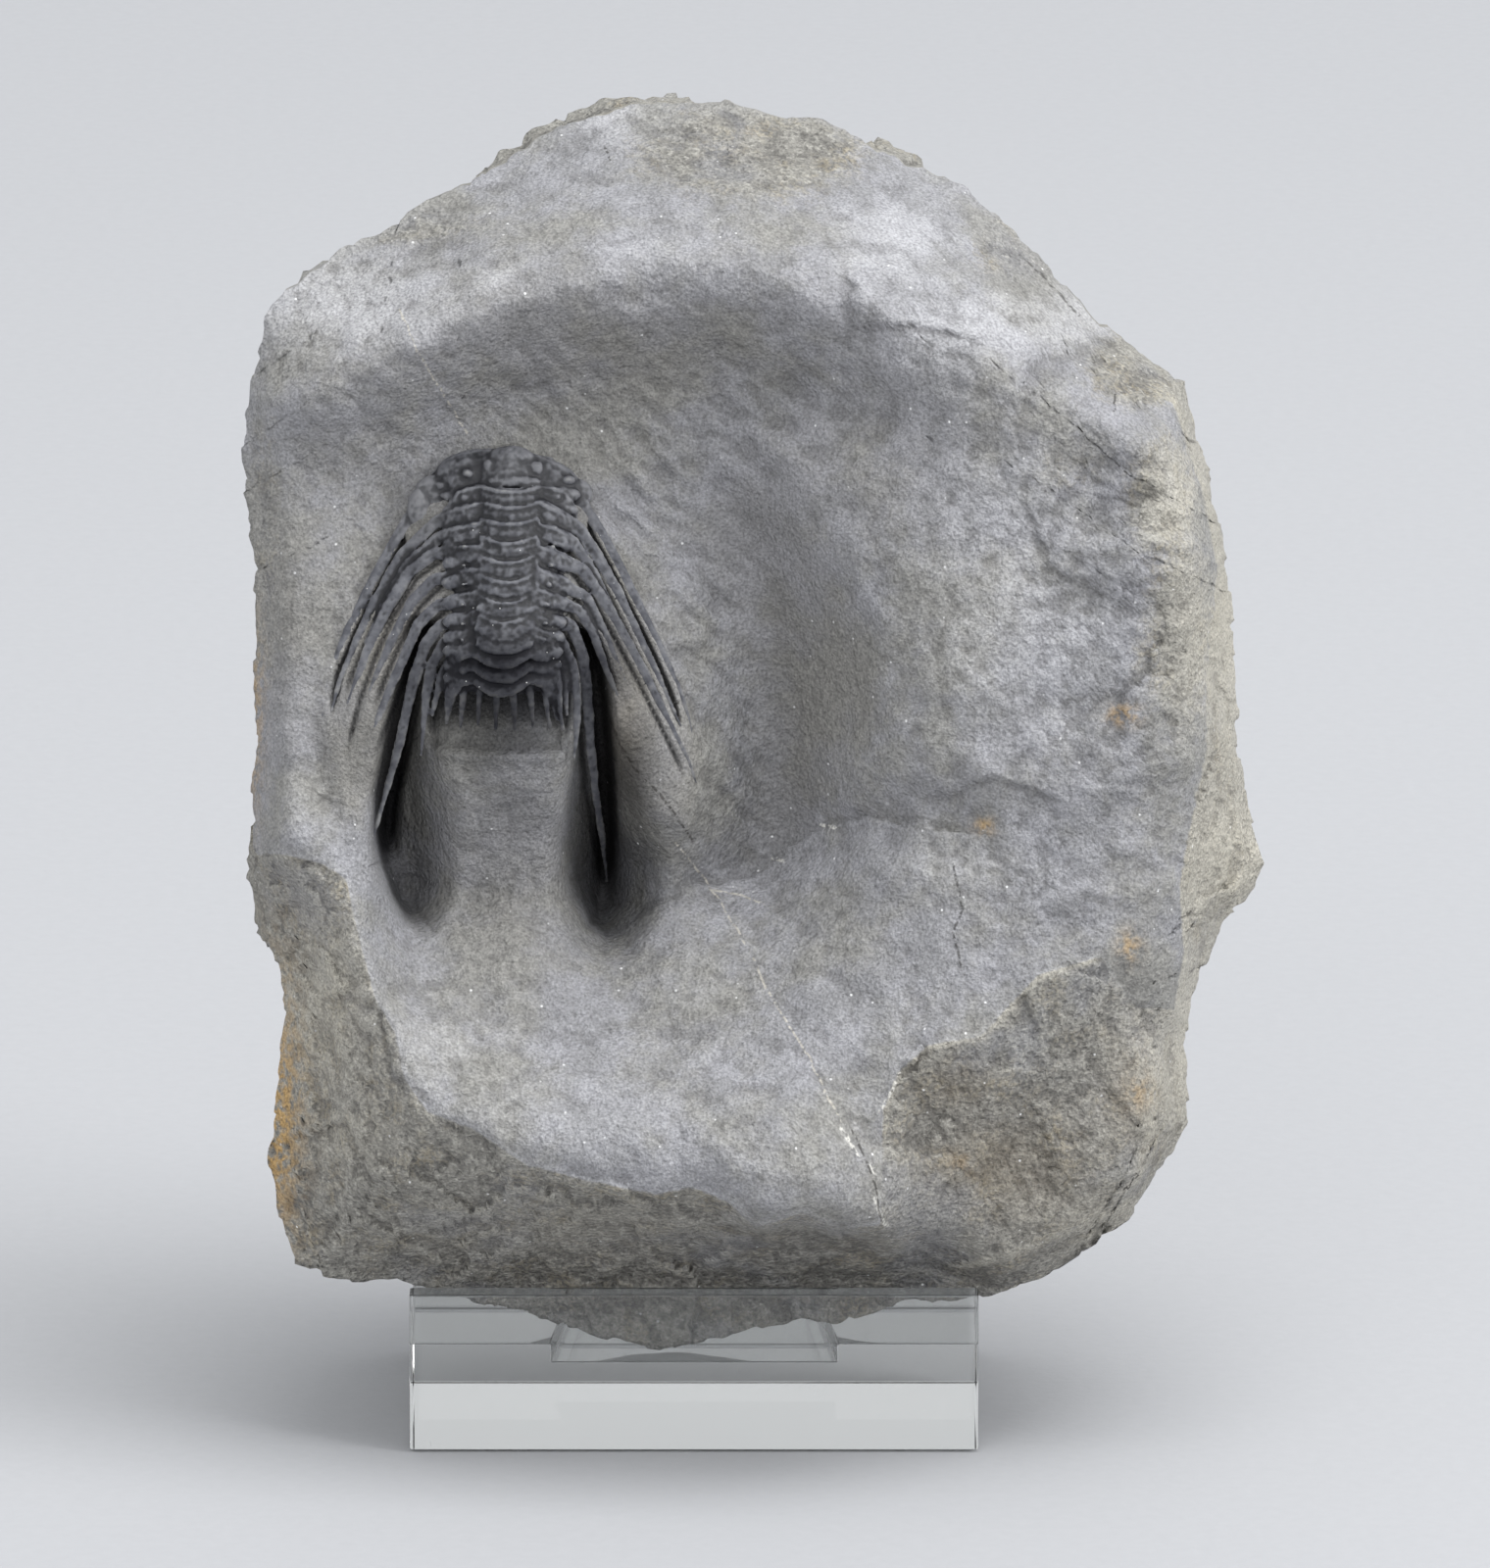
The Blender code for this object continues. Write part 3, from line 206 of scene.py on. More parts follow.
# Ledges, whose drop fades out below and to the right, and edges that stand up sharply
LEDGES = (
    ((16.8, 121.5), (17.3, 118.4), (23, 118.8), (27, 117.5)),
    ((33.7, 107.5), (33.9, 111.6), (36.2, 115.2), (40, 116)),
    ((43.5, 114.5), (47, 114.6), (50.3, 112.2), (51.8, 106.8)),
    ((36.2, 96.8), (37.5, 93.6), (40.3, 92)),
    ((48.6, 84.5), (48, 82), (45.5, 80.3), (45.3, 78.2)),
    ((26.7, 69.5), (31, 71.5), (35.5, 69.8)))
LEDGE_DROP = 0.6
LEDGE_FADE = 5.0
LEDGE_EDGE = 0.5
ARRISES = (RIGHT_RIDGE[1:], FACET_TOP, FACET_RIGHT)
ARRIS_RISE = 0.8
ARRIS_REACH = 3.5

# How far edges of flat pieces sway, over what size, and how wide the edge of a flake is
SWAY = 0.7
SWAY_SIZE = 2.6
FACET_SWAY = 0.8
FACET_SWAY_SIZE = 2.4
FLAKE_EDGE = 0.3

# Foot of the trough, where the lower zone rises in a crease
CREASE = ((-3, 58), (-0.8, 59.5), (6.8, 61.2), (13.7, 66.2), (17.8, 66.9), (24, 66))
CREASE_RISE = 1.1
CREASE_FADE = 10.0
LOWER_AREA = (
    (-33, 50), (-24, 50), (-14, 46), (-5, 48), (-0.8, 59.5), (6.8, 61), (13.7, 66), (17.8, 66.7),
    (25, 64), (34, 58), (30, 45), (19, 38), (19, 25), (4, 25), (-18, 31), (-31, 42))

# Scaly and layered patches of the right side, as across, up, radii across and up, and strength
SCALY = (
    (44, 96, 9, 14, 1), (47, 76, 8, 12, 1), (38, 60, 8, 5, 0.7), (49, 63, 5, 8, 0.8),
    (34, 112, 8, 5, 0.8), (24, 118, 9, 4, 0.6), (-38, 112, 8, 6, 0.5))
LAYERED = ((49, 98, 6, 11, 1), (50, 82, 5, 8, 0.8), (46, 62, 6, 6, 0.5))

# Pits beside the raised tongue under the fossil's tail, as outline, depth and slope width
PIT_LEFT = (
    (-29.5, 86), (-33, 82), (-38, 72), (-38.5, 60), (-35, 53.5), (-30.5, 53), (-26.6, 54), (-24.2, 59),
    (-23.8, 67), (-24.8, 73), (-26, 78), (-26.8, 83))
PIT_RIGHT = (
    (-12, 84), (-13.6, 77), (-15, 70), (-16.2, 64), (-15.8, 57.5), (-13.4, 53), (-9.8, 50.5),
    (-5.6, 51.6), (-2.6, 56.5), (-1.8, 62.5), (-4.2, 69), (-7.2, 76), (-9.2, 81))
PIT_DEEP = (
    (-11.6, 82), (-13.4, 76), (-14.4, 68), (-14.6, 60), (-12, 54.5), (-9, 53.5), (-6.6, 57), (-6.4, 64),
    (-8, 72), (-9.8, 79))
PITS = ((PIT_LEFT, 13, 7.5), (PIT_RIGHT, 8, 6), (PIT_DEEP, 7, 3.6))

# The steep left wall of the left pit, from the top down, and how wide its slope is
WALL_WIDTH = 1.2
PIT_WALL = (
    (-27, 89), (-28.9, 84.9), (-30.2, 80.1), (-31.9, 74.7), (-33.3, 68.8), (-33.9, 65.4), (-33.7, 62),
    (-32.6, 58.6), (-31, 55.6), (-28.5, 53))

# The fossil's ribs and spines, from the axis outward to the tip, as across, up
GENAL_LEFT = (
    (-28.8, 99.9), (-31.5, 95.6), (-34.3, 90.4), (-36.4, 86.2), (-38.1, 82.2), (-38.8, 78.7),
    (-38.9, 76.3))
RIBS_LEFT = (
    ((-22.2, 99.2), (-27, 97.8), (-30.6, 94.4), (-33.4, 89.5), (-35.4, 85.3), (-37.2, 80.8),
     (-38, 77.8)),
    ((-22.2, 97), (-26.6, 96.2), (-29.9, 93.4), (-32.3, 89.4), (-34.4, 85)),
    ((-22, 94.6), (-27.1, 94.5), (-29.8, 92.5), (-32.3, 88.3), (-34.3, 83.9), (-36, 79.1), (-37.3, 74),
     (-37.8, 72.3)),
    ((-22, 92.2), (-27.1, 91.8), (-29.5, 89.4), (-31.5, 85.6), (-33.3, 81.5), (-35, 76.7)),
    ((-22, 90), (-26.8, 89), (-28.9, 87), (-30.2, 83.9), (-31.9, 80.1), (-33.6, 75.7), (-35, 71.9)),
    ((-21.9, 88), (-26.4, 87), (-28.1, 84.9), (-29.5, 80.5), (-30.8, 74.7), (-32.3, 69.5),
     (-33.8, 64.3)),
    ((-21.7, 86), (-26, 85.2), (-27.4, 82.8), (-28.1, 79.1), (-28.4, 75), (-28.6, 73.2)),
    ((-21.5, 84.3), (-25.3, 83.6), (-26.4, 81.5), (-27.4, 77.4)))
GENAL_RIGHT = (
    (-11.6, 99.6), (-9.9, 96.9), (-7.9, 93.2), (-5.8, 89), (-3.7, 84.9), (-1.8, 80.8), (-0.5, 77),
    (-0.2, 74.7))
RIBS_RIGHT = (
    ((-16.2, 99.2), (-12, 97), (-9.9, 93.8), (-7.5, 89.4), (-5.2, 84.6), (-3.1, 80.1), (-1.3, 76.3)),
    ((-16.2, 97), (-12.6, 95.6), (-10.3, 92.2), (-8.2, 88.2)),
    ((-16.2, 94.6), (-11.7, 92.8), (-9.6, 89.8), (-7.2, 85.6), (-4.8, 81.2), (-2.7, 77), (-0.7, 72.9),
     (0.5, 69.5)),
    ((-16.3, 92.2), (-11.3, 90), (-9.2, 85.6), (-7.5, 81.5), (-6.2, 78.4)),
    ((-16.3, 90), (-12, 88.6), (-10.6, 86.2), (-9.2, 82.5), (-8, 79.5)),
    ((-16.5, 88), (-12.8, 86.9), (-11.7, 84.2), (-11.2, 80.1), (-10.9, 75), (-10.4, 69.8), (-9.7, 64.6),
     (-9.2, 60)),
    ((-16.7, 86), (-13.7, 84.9), (-12.7, 82.8), (-12.2, 79.1), (-12.3, 75), (-12.6, 72.9)),
    ((-16.9, 84.3), (-14.4, 83.4), (-13.5, 81.2), (-13.3, 77.4)))
PYGIDIAL_SPINES = (
    ((-25.2, 82.4), (-25.9, 76.6)),
    ((-23.9, 81.6), (-24.4, 76.2)),
    ((-22.3, 81), (-22.6, 76.4)),
    ((-20.6, 80.6), (-20.7, 76)),
    ((-18.9, 80.6), (-18.7, 76)),
    ((-17.2, 81), (-16.8, 76.2)),
    ((-15.7, 81.6), (-15.1, 76.2)),
    ((-14.4, 82.4), (-13.7, 76)))
RING_HEIGHTS = (100.6, 99.0, 97.3, 95.4, 93.4, 91.4, 89.3, 87.3, 85.6, 84.2, 82.8, 81.4)
LONG_RIB = 5
LONG_RIB_DROP_LEFT = 4.0
LONG_RIB_DROP_RIGHT = 11.0

# Recess under the tail, shallower at its foot, and slots as route, depth, half width and foot
RECESS = (
    (-28, 83.5), (-28.6, 79), (-28.2, 73.6), (-20, 72.9), (-13.2, 73.2), (-12.6, 78), (-12.8, 83.5))
RECESS_DEPTH = 4.2
RECESS_WIDTH = 1.2
RECESS_FOOT = 73.5
RECESS_FADE = 7.0
RECESS_LEAST = 0.35
SLOTS = (
    (((-28.3, 86.5), (-29.4, 82.5), (-30.9, 76.5), (-32.4, 69.5), (-32.6, 60)), 7, 1.9, 60),
    (((-11.7, 85.6), (-10.7, 83.6), (-9.9, 78.4), (-9.4, 73.2), (-9.3, 66.4), (-9.6, 56)), 10, 1.8, 57))
SLOT_FADE = 7.0

# The fan of spines, where the rock between them is raised a little from its edge inward
FAN_CENTRE = (-19.6, 104.0)
FAN_RAISED = 0.8
FAN_FADE = 2.0
FAN_AREA = (
    (-26, 104), (-32, 97), (-37.5, 87), (-40, 76), (-38.5, 69), (-35, 64), (-31, 72), (-27, 82),
    (-13, 83), (-10, 74), (-6, 66), (0, 65), (2, 73), (-1, 82), (-6, 92), (-11, 101))

# The fossil's middle line, its rings across it and how high they ride over the rock
AXIS_TOP = (-19.0, 103.0)
AXIS_SLANT = -0.05
HEAD_ARCH = (
    (-26.9, 101.9), (-24.2, 103.2), (-21.8, 103.5), (-19.4, 103.4), (-17, 103), (-14.9, 102.2),
    (-13.2, 100.9))
HEAD_WIDTH = 2.3
HEAD_THICK = 0.9
RING_ARCH = ((-3.1, 0.25), (-2.2, 0), (-1.1, -0.25), (0, -0.3), (1.1, -0.25), (2.2, 0), (3.1, 0.25))
RING_SAG = 0.07
RING_SLIM = 0.015
RING_END = ((4.2, 0.15), (5.5, -0.3), (6.4, -1.6), (6.9, -4.4))
RING_HALF = 6.0
RING_WIDTH = 1.15
RING_THICK = 0.34
RING_TILT = 24.0
RING_BODY = (7.4, 1.7, 1.5)
RING_BODY_SINK = 0.4
SPINE_TILT = 10.0
SPINE_WIDTH = 0.74
GENAL_WIDTH = 0.75
FORE_RIDGES = 9
FORE_RIDGE_UP = 0.55
SEGMENT_LIFT = ((0, 1.6, 3.1, 4.7, 7, 10), (2, 1.85, 1.45, 1.6, 0.85, 0.2))
SPINE_LIFT = (0.28, -0.30)
SPINE_TIP = 0.2
TUBERCLE_REACH = 4.9
TUBERCLE_LIFT = 1.7
TUBERCLE_SIZE = (0.24, 0.20, 0.28)
TAIL_SPINE_WIDTH = 0.46
TAIL_SPINE_TAPER = 0.24
TAIL_SPINE_LIFT = 0.8
TAIL_SPINE_DROP = 2.6

# Smooth floor of the trough, where the tool left slanting marks, and the grooves along the
# spines: their depths, how far beside a spine they run, their half width and their fade at a tip
TROUGH_AREA = (
    (-3, 98), (2, 88), (5, 78), (4, 68), (-1, 60.5), (6.8, 61), (11, 64), (16, 69), (21, 78), (19, 88),
    (13, 98), (6, 105))
TOOLED = (
    (-6, 101, 7, 10, 1), (0.5, 86, 4, 12, 1), (4, 72, 4, 9, 0.8), (-14, 112, 16, 6, 0.5),
    (8, 110, 12, 8, 0.5), (-34, 108, 8, 6, 0.4))
RIPPLE_SLANT = -38.0
GENAL_GROOVE = 2.0
RIB_GROOVE = 1.0
GROOVE_SHIFT = 1.0
GROOVE_HALF = 0.30
TIP_FADE = (1.0, 3.5)

# Lumps of the head, as across, up, rise over the rock, and radii across, up, forward
HEAD_LUMPS = (
    (-19.2, 104.3, 1.7, 2.6, 1.6, 1.3), (-18.8, 102, 1.8, 2.9, 0.8, 0.9),
    (-24.6, 102.9, 1, 2.4, 1.7, 1.1), (-14.2, 101.9, 1, 1.9, 1.4, 1.1), (-21.4, 103.5, 2, 0.9, 1, 0.9),
    (-16.6, 103.2, 2, 0.9, 1, 0.9), (-23.7, 102.9, 1.9, 0.8, 0.6, 1), (-23.2, 103.5, 1.6, 0.6, 0.7, 0.9),
    (-13.2, 102.2, 1.8, 0.7, 0.5, 0.9), (-27.2, 101, 0.3, 2.2, 1.8, 0.8),
    (-28.9, 99.2, 0.2, 1.2, 2.2, 0.7), (-12.1, 100.8, 0.3, 1.5, 1.6, 0.8),
    (-20.4, 102.3, 2, 0.8, 0.5, 0.6), (-17.2, 102, 2, 0.7, 0.5, 0.6), (-22.6, 104.9, 1.2, 1.1, 0.6, 0.6),
    (-15.6, 104.2, 1.3, 1, 0.6, 0.6), (-18, 104.9, 2.2, 0.9, 0.5, 0.5),
    (-20.6, 104.5, 2.2, 0.8, 0.6, 0.5), (-26.2, 101.6, 0.8, 1, 0.6, 0.5),
    (-15.3, 102.9, 1.8, 0.8, 0.6, 0.6))

# Patches of one look each, as across, up, radii across and up, and strength: powdery, grainy,
# paler rock with painted light where it faces the lamp, painted shade in the hollows, rusty rock,
# painted shade on rock and fossil, painted shade at the fossil's tail and on the rock round its
# body, worn shell and brown rock. The first three numbers are strengths over a whole area: powder,
# painted shade in the trough and a painted highlight along the sharp edges. The tail's shade sets
# in below a height and is full so far under it.
LOWER_POWDER = 0.22
# Painted shade over the whole smooth trough
TROUGH_SHADE = 0.6
# Painted highlight along the sharp edges
ARRIS_HIGHLIGHT = 0.7
TAIL_SHADE = (90.5, 8.0)
POWDER = (
    (-8.5, 139.5, 4, 3, 0.7), (21, 127, 8, 6.5, 0.8), (29.5, 118.5, 9, 4, 0.9), (39, 119, 7, 4, 0.8),
    (-21, 123.5, 5, 3, 0.6), (-3, 125, 7, 5, 0.5), (-39, 67, 4.5, 6, 0.3), (-27, 42, 6, 5, 0.55),
    (-12, 36, 14, 6, 0.45), (30, 62, 10, 5, 0.5), (35, 85, 13, 14, 0.6), (-35, 121, 12, 6, 1),
    (33, 100, 9, 6, 0.5))
GRAINY = (
    (6, 137, 14, 6, 1), (34, 127, 6, 5, 0.8), (46, 114, 6, 5, 0.9), (49, 100, 5, 9, 0.8),
    (47, 84, 3, 5, 0.5), (-30, 129, 10, 3, 0.7), (51, 86, 5, 14, 0.8), (-45, 95, 3, 20, 0.6),
    (40, 104, 7, 5, 0.5))
# Paler rock, with painted light on the right side where it faces the lamp
PALE_AND_LIT = (
    (-39, 47, 5, 9, 0.75), (-18, 23.5, 16, 3.5, 0.3), (-37, 33, 5, 4, 0.4), (57, 85, 6, 18, 1),
    (56, 62, 6, 10, 1), (53, 44, 6, 14, 0.9), (44, 24, 8, 4, 0.5), (52.5, 100, 4.5, 11, 0.8))
# Painted shade in the bowl under the ridge, in the trough and near the pits
HOLLOW_SHADE = (
    (-14, 117, 26, 7, 0.8), (-19, 62, 8, 12, 0.8), (16, 104, 12, 8, 0.5), (-36, 106, 8, 6, 0.5),
    (-42.5, 86, 4, 14, 0.9))
OCHRE = (
    (-44.3, 36, 2.6, 12, 1.3), (46.8, 38, 1.4, 1.8, 0.4), (28, 30.5, 1.4, 1.2, 0.25),
    (-46.6, 78, 1.2, 9, 0.7), (45, 77.5, 1.5, 1, 0.9), (30.5, 65.9, 1, 0.8, 0.8),
    (45.7, 53.2, 1.2, 1.6, 0.6))
# Painted shade in the pits, the slots and the recess under the tail, on rock and fossil
SHADE_SPOTS = (
    (-19.8, 81, 6.5, 2.6, 0.95), (-20, 75, 7.5, 3.4, 0.8), (-7.6, 61.5, 4.6, 8.5, 0.85),
    (-29.4, 63.5, 2.4, 5, 0.35), (-6.6, 71.5, 3.4, 7.5, 0.8), (-9.6, 82, 4, 5.5, 0.85),
    (-19.3, 69, 7, 5, 0.25))
# Painted shade on the fossil's tail
TAIL_SHADE_SPOTS = ((-19.8, 82, 9, 6, 1), (-19.8, 77.5, 6.5, 4, 1))
# Painted shade on the rock round the fossil's body and near its spine tips
BODY_SHADE = (
    (-19.3, 92, 10.5, 9.5, 1), (-34.5, 75, 4, 7, 0.6), (-28.5, 97.5, 2.5, 3.5, 0.8),
    (-11.5, 98.3, 2.2, 2.8, 0.8))
HEAD_WORN = ((-28.6, 100, 3, 4, 1), (-19, 103.5, 7, 2.5, 0.6), (-12, 101, 2.5, 3, 0.6))
BROWN = (
    (27.5, 38.5, 4, 3, 0.7), (33, 30, 8, 5, 0.9), (45.5, 37, 3, 6, 0.6), (-7.5, 75, 2.6, 8, 0.9),
    (-31.5, 87, 3.5, 6, 0.5), (-7, 75, 1.2, 2.2, 1))

# Veins, white chips and cracks over the front, as across, up. The last table holds for each
# how far it reaches to both sides, its colour and its strength. They end where the front does.
VEINS = (
    ((-30.8, 120), (-28.7, 115.3), (-26.2, 111.2), (-23.8, 107.2)),
    ((-1.9, 64.1), (2.5, 58.4), (5.7, 53.2), (8, 48.2), (12.3, 41.3), (15.5, 34.7)),
    ((1.8, 59.2), (5, 58.6), (8, 57.4)))
CHIPS = (
    ((15.5, 34.3), (17.2, 31.4)),
    ((18.5, 30.5), (19, 29.6)),
    ((18.8, 27), (20.1, 24.1)),
    ((13.5, 66), (15, 65.7)),
    ((8.4, 62.5), (9.6, 62.2)),
    ((19.6, 36), (21.6, 40)))
CRACKS = (
    ((-8.7, 77.2), (-7.8, 74.6), (-6.4, 72.1), (-3.6, 69.3), (-1.7, 66.7), (-0.3, 64.5)),
    ((27.3, 62), (28.1, 57.5), (27.2, 54.5), (28.6, 49.6)),
    ((34.2, 126), (37, 123.5), (40.5, 119.6)),
    ((-9.4, 137.3), (-8.8, 136)),
    ((16.3, 34.6), (17.8, 31.6), (18.9, 28.6), (19.6, 24.6)),
    ((44.1, 111.5), (44.1, 109.4)))
MARKS = (
    (VEINS, 0.16, (186, 181, 170), 0.6), (CHIPS, 0.26, (208, 206, 200), 0.75),
    (CRACKS, 0.18, (44, 41, 38), 0.7))
FRONT_FROM = 12.0
GRAIN_CONTRAST = 1.6


def leaning():
    """Matrix from the leaning frame in millimetres to the upright one in metres."""
    up = Vector((0.0, math.sin(LEAN), math.cos(LEAN)))
    forward = Vector((0.0, -math.cos(LEAN), math.sin(LEAN)))
    foot = Vector((0.0, -STAND_DEPTH / 2, 0.0))
    turn = Matrix((Vector((1.0, 0.0, 0.0)), up, forward)).transposed()
    return Matrix.Translation(up * up.dot(foot)) @ (turn * MM).to_4x4()


def sample(line, spacing=None, shares=None):
    """Points along a polyline by their distance across and up, even or at given shares."""
    points = np.array(line, dtype=float)
    steps = np.hypot(*np.diff(points[:, :2], axis=0).T)
    reach = np.concatenate(([0.0], np.cumsum(steps)))
    if shares is None:
        shares = np.linspace(0.0, 1.0, max(2, round(reach[-1] / spacing) + 1))
    return np.column_stack([np.interp(shares * reach[-1], reach, column) for column in points.T])


def rise(value):
    """Smooth step from 0 to 1."""
    value = np.clip(value, 0.0, 1.0)
    return value * value * (3.0 - 2.0 * value)


def crowded(count, low, high):
    """Shares from 0 to 1 that lie closer together between two of them."""
    share = np.linspace(0.0, 1.0, CROWD_STEPS)
    density = 1.0 + CROWDING * rise((share - low) / CROWD_FADE) * rise((high - share) / CROWD_FADE)
    reach = np.concatenate(([0.0], np.cumsum((density[1:] + density[:-1]) / 2)))
    return np.interp(np.linspace(0.0, reach[-1], count), reach, share)


def near_line(spots, route, closed=False):
    """Distance to a polyline, and which side of its nearest stretch each spot is on."""
    points = np.array(route, dtype=float)[:, :2]
    ends = np.roll(points, -1, axis=0) if closed else points[1:]
    nearest = np.full(len(spots), np.inf)
    side = np.zeros(len(spots))
    for start, end in zip(points, ends):
        along = end - start
        share = np.clip((spots - start) @ along / max(along @ along, TINY), 0.0, 1.0)
        away = spots - start - share[:, None] * along
        distance = np.hypot(*away.T)
        turn = along[0] * away[:, 1] - along[1] * away[:, 0]
        side = np.where(distance < nearest, turn, side)
        nearest = np.minimum(nearest, distance)
    return nearest, side


def depth_inside(spots, outline):
    """Distance to a closed outline, positive inside it."""
    corners = np.array(outline, dtype=float)[:, :2]
    inside = np.zeros(len(spots), dtype=bool)
    for start, end in zip(corners, np.roll(corners, -1, axis=0)):
        along = end - start
        crosses = (start[1] > spots[:, 1]) != (end[1] > spots[:, 1])
        edge = start[0] + (spots[:, 1] - start[1]) * along[0] / (along[1] or 1.0)
        inside ^= crosses & (spots[:, 0] < edge)
    nearest = near_line(spots, corners, closed=True)[0]
    return np.where(inside, nearest, -nearest)


class Bed:
    """The front's height over the leaning frame, smooth through all the height lines."""

    def __init__(self):
        lines = HEIGHT_LINES + (TOP_SIDE, RIGHT_SIDE, BOTTOM_SIDE, LEFT_SIDE)
        knots = np.concatenate([sample(line, HEIGHT_SPACING) for line in lines])
        keep = np.unique(np.round(knots[:, :2]), axis=0, return_index=True)[1]
        self.knots = knots[keep, :2]
        count = len(keep)
        matrix = np.zeros((count + 3, count + 3))
        matrix[:count, :count] = self.distances(self.knots)
        matrix[:count, count:] = self.plane(self.knots)
        matrix[count:, :count] = matrix[:count, count:].T
        heights = np.concatenate((knots[keep, 2], np.zeros(3)))
        self.weights = np.linalg.solve(matrix, heights)

    def distances(self, spots):
        across, up = (spots[:, None, axis] - self.knots[None, :, axis] for axis in (0, 1))
        return np.hypot(across, up)

    def plane(self, spots):
        return np.column_stack((np.ones(len(spots)), spots))

    def __call__(self, spots):
        spots = np.asarray(spots, dtype=float)
        parts = [spots[start:start + CHUNK] for start in range(0, len(spots), CHUNK)]
        return np.concatenate([np.hstack((self.distances(part), self.plane(part))) @ self.weights
                               for part in parts])


def patch(top, right, bottom, left):
    """Grid of points inside four sides, after Coons."""
    across = np.linspace(0.0, 1.0, len(top))[None, :, None]
    down = np.linspace(0.0, 1.0, len(left))[:, None, None]
    level = (1 - down) * top[None] + down * bottom[None]
    upright = (1 - across) * left[:, None] + across * right[:, None]
    corners = ((1 - down) * ((1 - across) * top[0] + across * top[-1])
               + down * ((1 - across) * bottom[0] + across * bottom[-1]))
    return level + upright - corners


def rim_sides(rim, columns, rows):
    """The four sides of a rim that runs top, right, bottom and left."""
    loop = np.concatenate((rim, rim[:1]))
    marks = np.cumsum((0, columns, rows, columns, rows))
    top, right, bottom, left = (loop[a:b + 1] for a, b in zip(marks, marks[1:]))
    return top, right, bottom[::-1], left[::-1]


def lumps(points, size, octaves=2):
    """Smooth random lumps, about -1 to 1, of one size in millimetres."""
    return np.array([noise.fractal(spot, 1.0, 2.1, octaves) for spot in (points / size).tolist()])


def facets(points, size):
    """Steps and tilts of broken stone, one flat piece to each cell around scattered seeds."""
    levels = []
    for point in points:
        spot = Vector(point) / size
        seed = noise.voronoi(spot)[1][0]
        chance = noise.cell_vector(seed * 31.7)
        levels.append(2.0 * (chance - Vector((0.5, 0.5, 0.5))).dot(spot - seed) + chance.x - 0.5)
    return np.array(levels)


def flakes(points, size, count):
    """Smooth lumps cut into flat layers with sharp edges, as thin flakes come off."""
    levels = lumps(points, size, 3) * count
    return (np.floor(levels) + rise((levels - np.floor(levels)) / FLAKE_EDGE)) / count


def ledge(spots, route, fade):
    """Share of a step below a line, greatest at the line and gone further down and to the right."""
    distance, side = near_line(spots, route)
    return np.where(side < 0.0, rise(distance / LEDGE_EDGE) * rise(1.0 - distance / fade), 0.0)


def pit_depth(spots):
    """Depth of the pits, the left one ending at its steep wall."""
    distance, side = near_line(spots, PIT_WALL)
    walled = rise(np.sign(side) * distance / WALL_WIDTH)
    total = np.zeros(len(spots))
    for outline, depth, width in PITS:
        fall = rise(depth_inside(spots, outline) / width)
        total += depth * fall * (walled if outline == PIT_LEFT else 1.0)
    return total


def seat(spots, heights):
    """Keep the stone's foot behind the stand's front wall, up to a little over its top."""
    inner = (-STAND_DEPTH / 2 + STAND_FRONT_WALL) / MM + SEAT_ROOM
    level = spots[:, 1] - STAND_DEPTH / 2 / MM * math.sin(LEAN)
    limit = (level * math.sin(LEAN) - inner) / math.cos(LEAN)
    top = level * math.cos(LEAN) + limit * math.sin(LEAN)
    near_stand = np.abs(spots[:, 0]) < STAND_WIDTH / 2 / MM + SEAT_ROOM
    low = (top < STAND_HEIGHT / MM + SEAT_ROOM) & near_stand
    return np.where(low, np.minimum(heights, limit), heights)


def slot_depth(spots):
    """Depth of the narrow slots beside the long ribs, running out at their foot."""
    total = np.zeros(len(spots))
    for route, depth, width, end in SLOTS:
        fade = rise((spots[:, 1] - end) / SLOT_FADE)
        total += depth * fade * rise(1.0 - near_line(spots, route)[0] / width)
    return total


def recess_depth(spots):
    """Depth of the recess under the tail, greatest at its head."""
    slant = RECESS_LEAST + (1.0 - RECESS_LEAST) * rise((spots[:, 1] - RECESS_FOOT) / RECESS_FADE)
    return RECESS_DEPTH * slant * rise(depth_inside(spots, RECESS) / RECESS_WIDTH)


def fan_share(spots):
    """How far inside the fossil's fan each spot is, from 0 to 1."""
    return rise(depth_inside(spots, FAN_AREA) / FAN_FADE)


def blobs(spots, places):
    """Soft spots of strength around named places."""
    total = np.zeros(len(spots))
    for x, y, wide, tall, strength in places:
        reach = ((spots[:, 0] - x) / wide) ** 2 + ((spots[:, 1] - y) / tall) ** 2
        total = np.maximum(total, strength * np.exp(-reach))
    return total


def stone_rim():
    across = crowded(COLUMNS + 1, *FINE_ACROSS)
    down = crowded(ROWS + 1, *FINE_DOWN)
    sides = (sample(TOP_SIDE, shares=across)[:-1], sample(RIGHT_SIDE, shares=down)[:-1],
             sample(BOTTOM_SIDE, shares=across)[:0:-1], sample(LEFT_SIDE, shares=down)[:0:-1])
    rim = np.concatenate(sides)
    chips = 0.45 * facets(rim, 3.5) + 0.35 * lumps(rim, 1.8)
    inward = np.array(STONE_CENTRE) - rim[:, :2]
    rim[:, :2] += inward / np.hypot(*inward.T)[:, None] * np.maximum(0.35 + chips, 0.0)[:, None]
    return rim


def swayed_points(points):
    """Points moved about a little, so that facets get crooked edges."""
    sway = [lumps(points + place, FACET_SWAY_SIZE) for place in (11.0, 23.0, 37.0)]
    return points + FACET_SWAY * np.column_stack(sway)


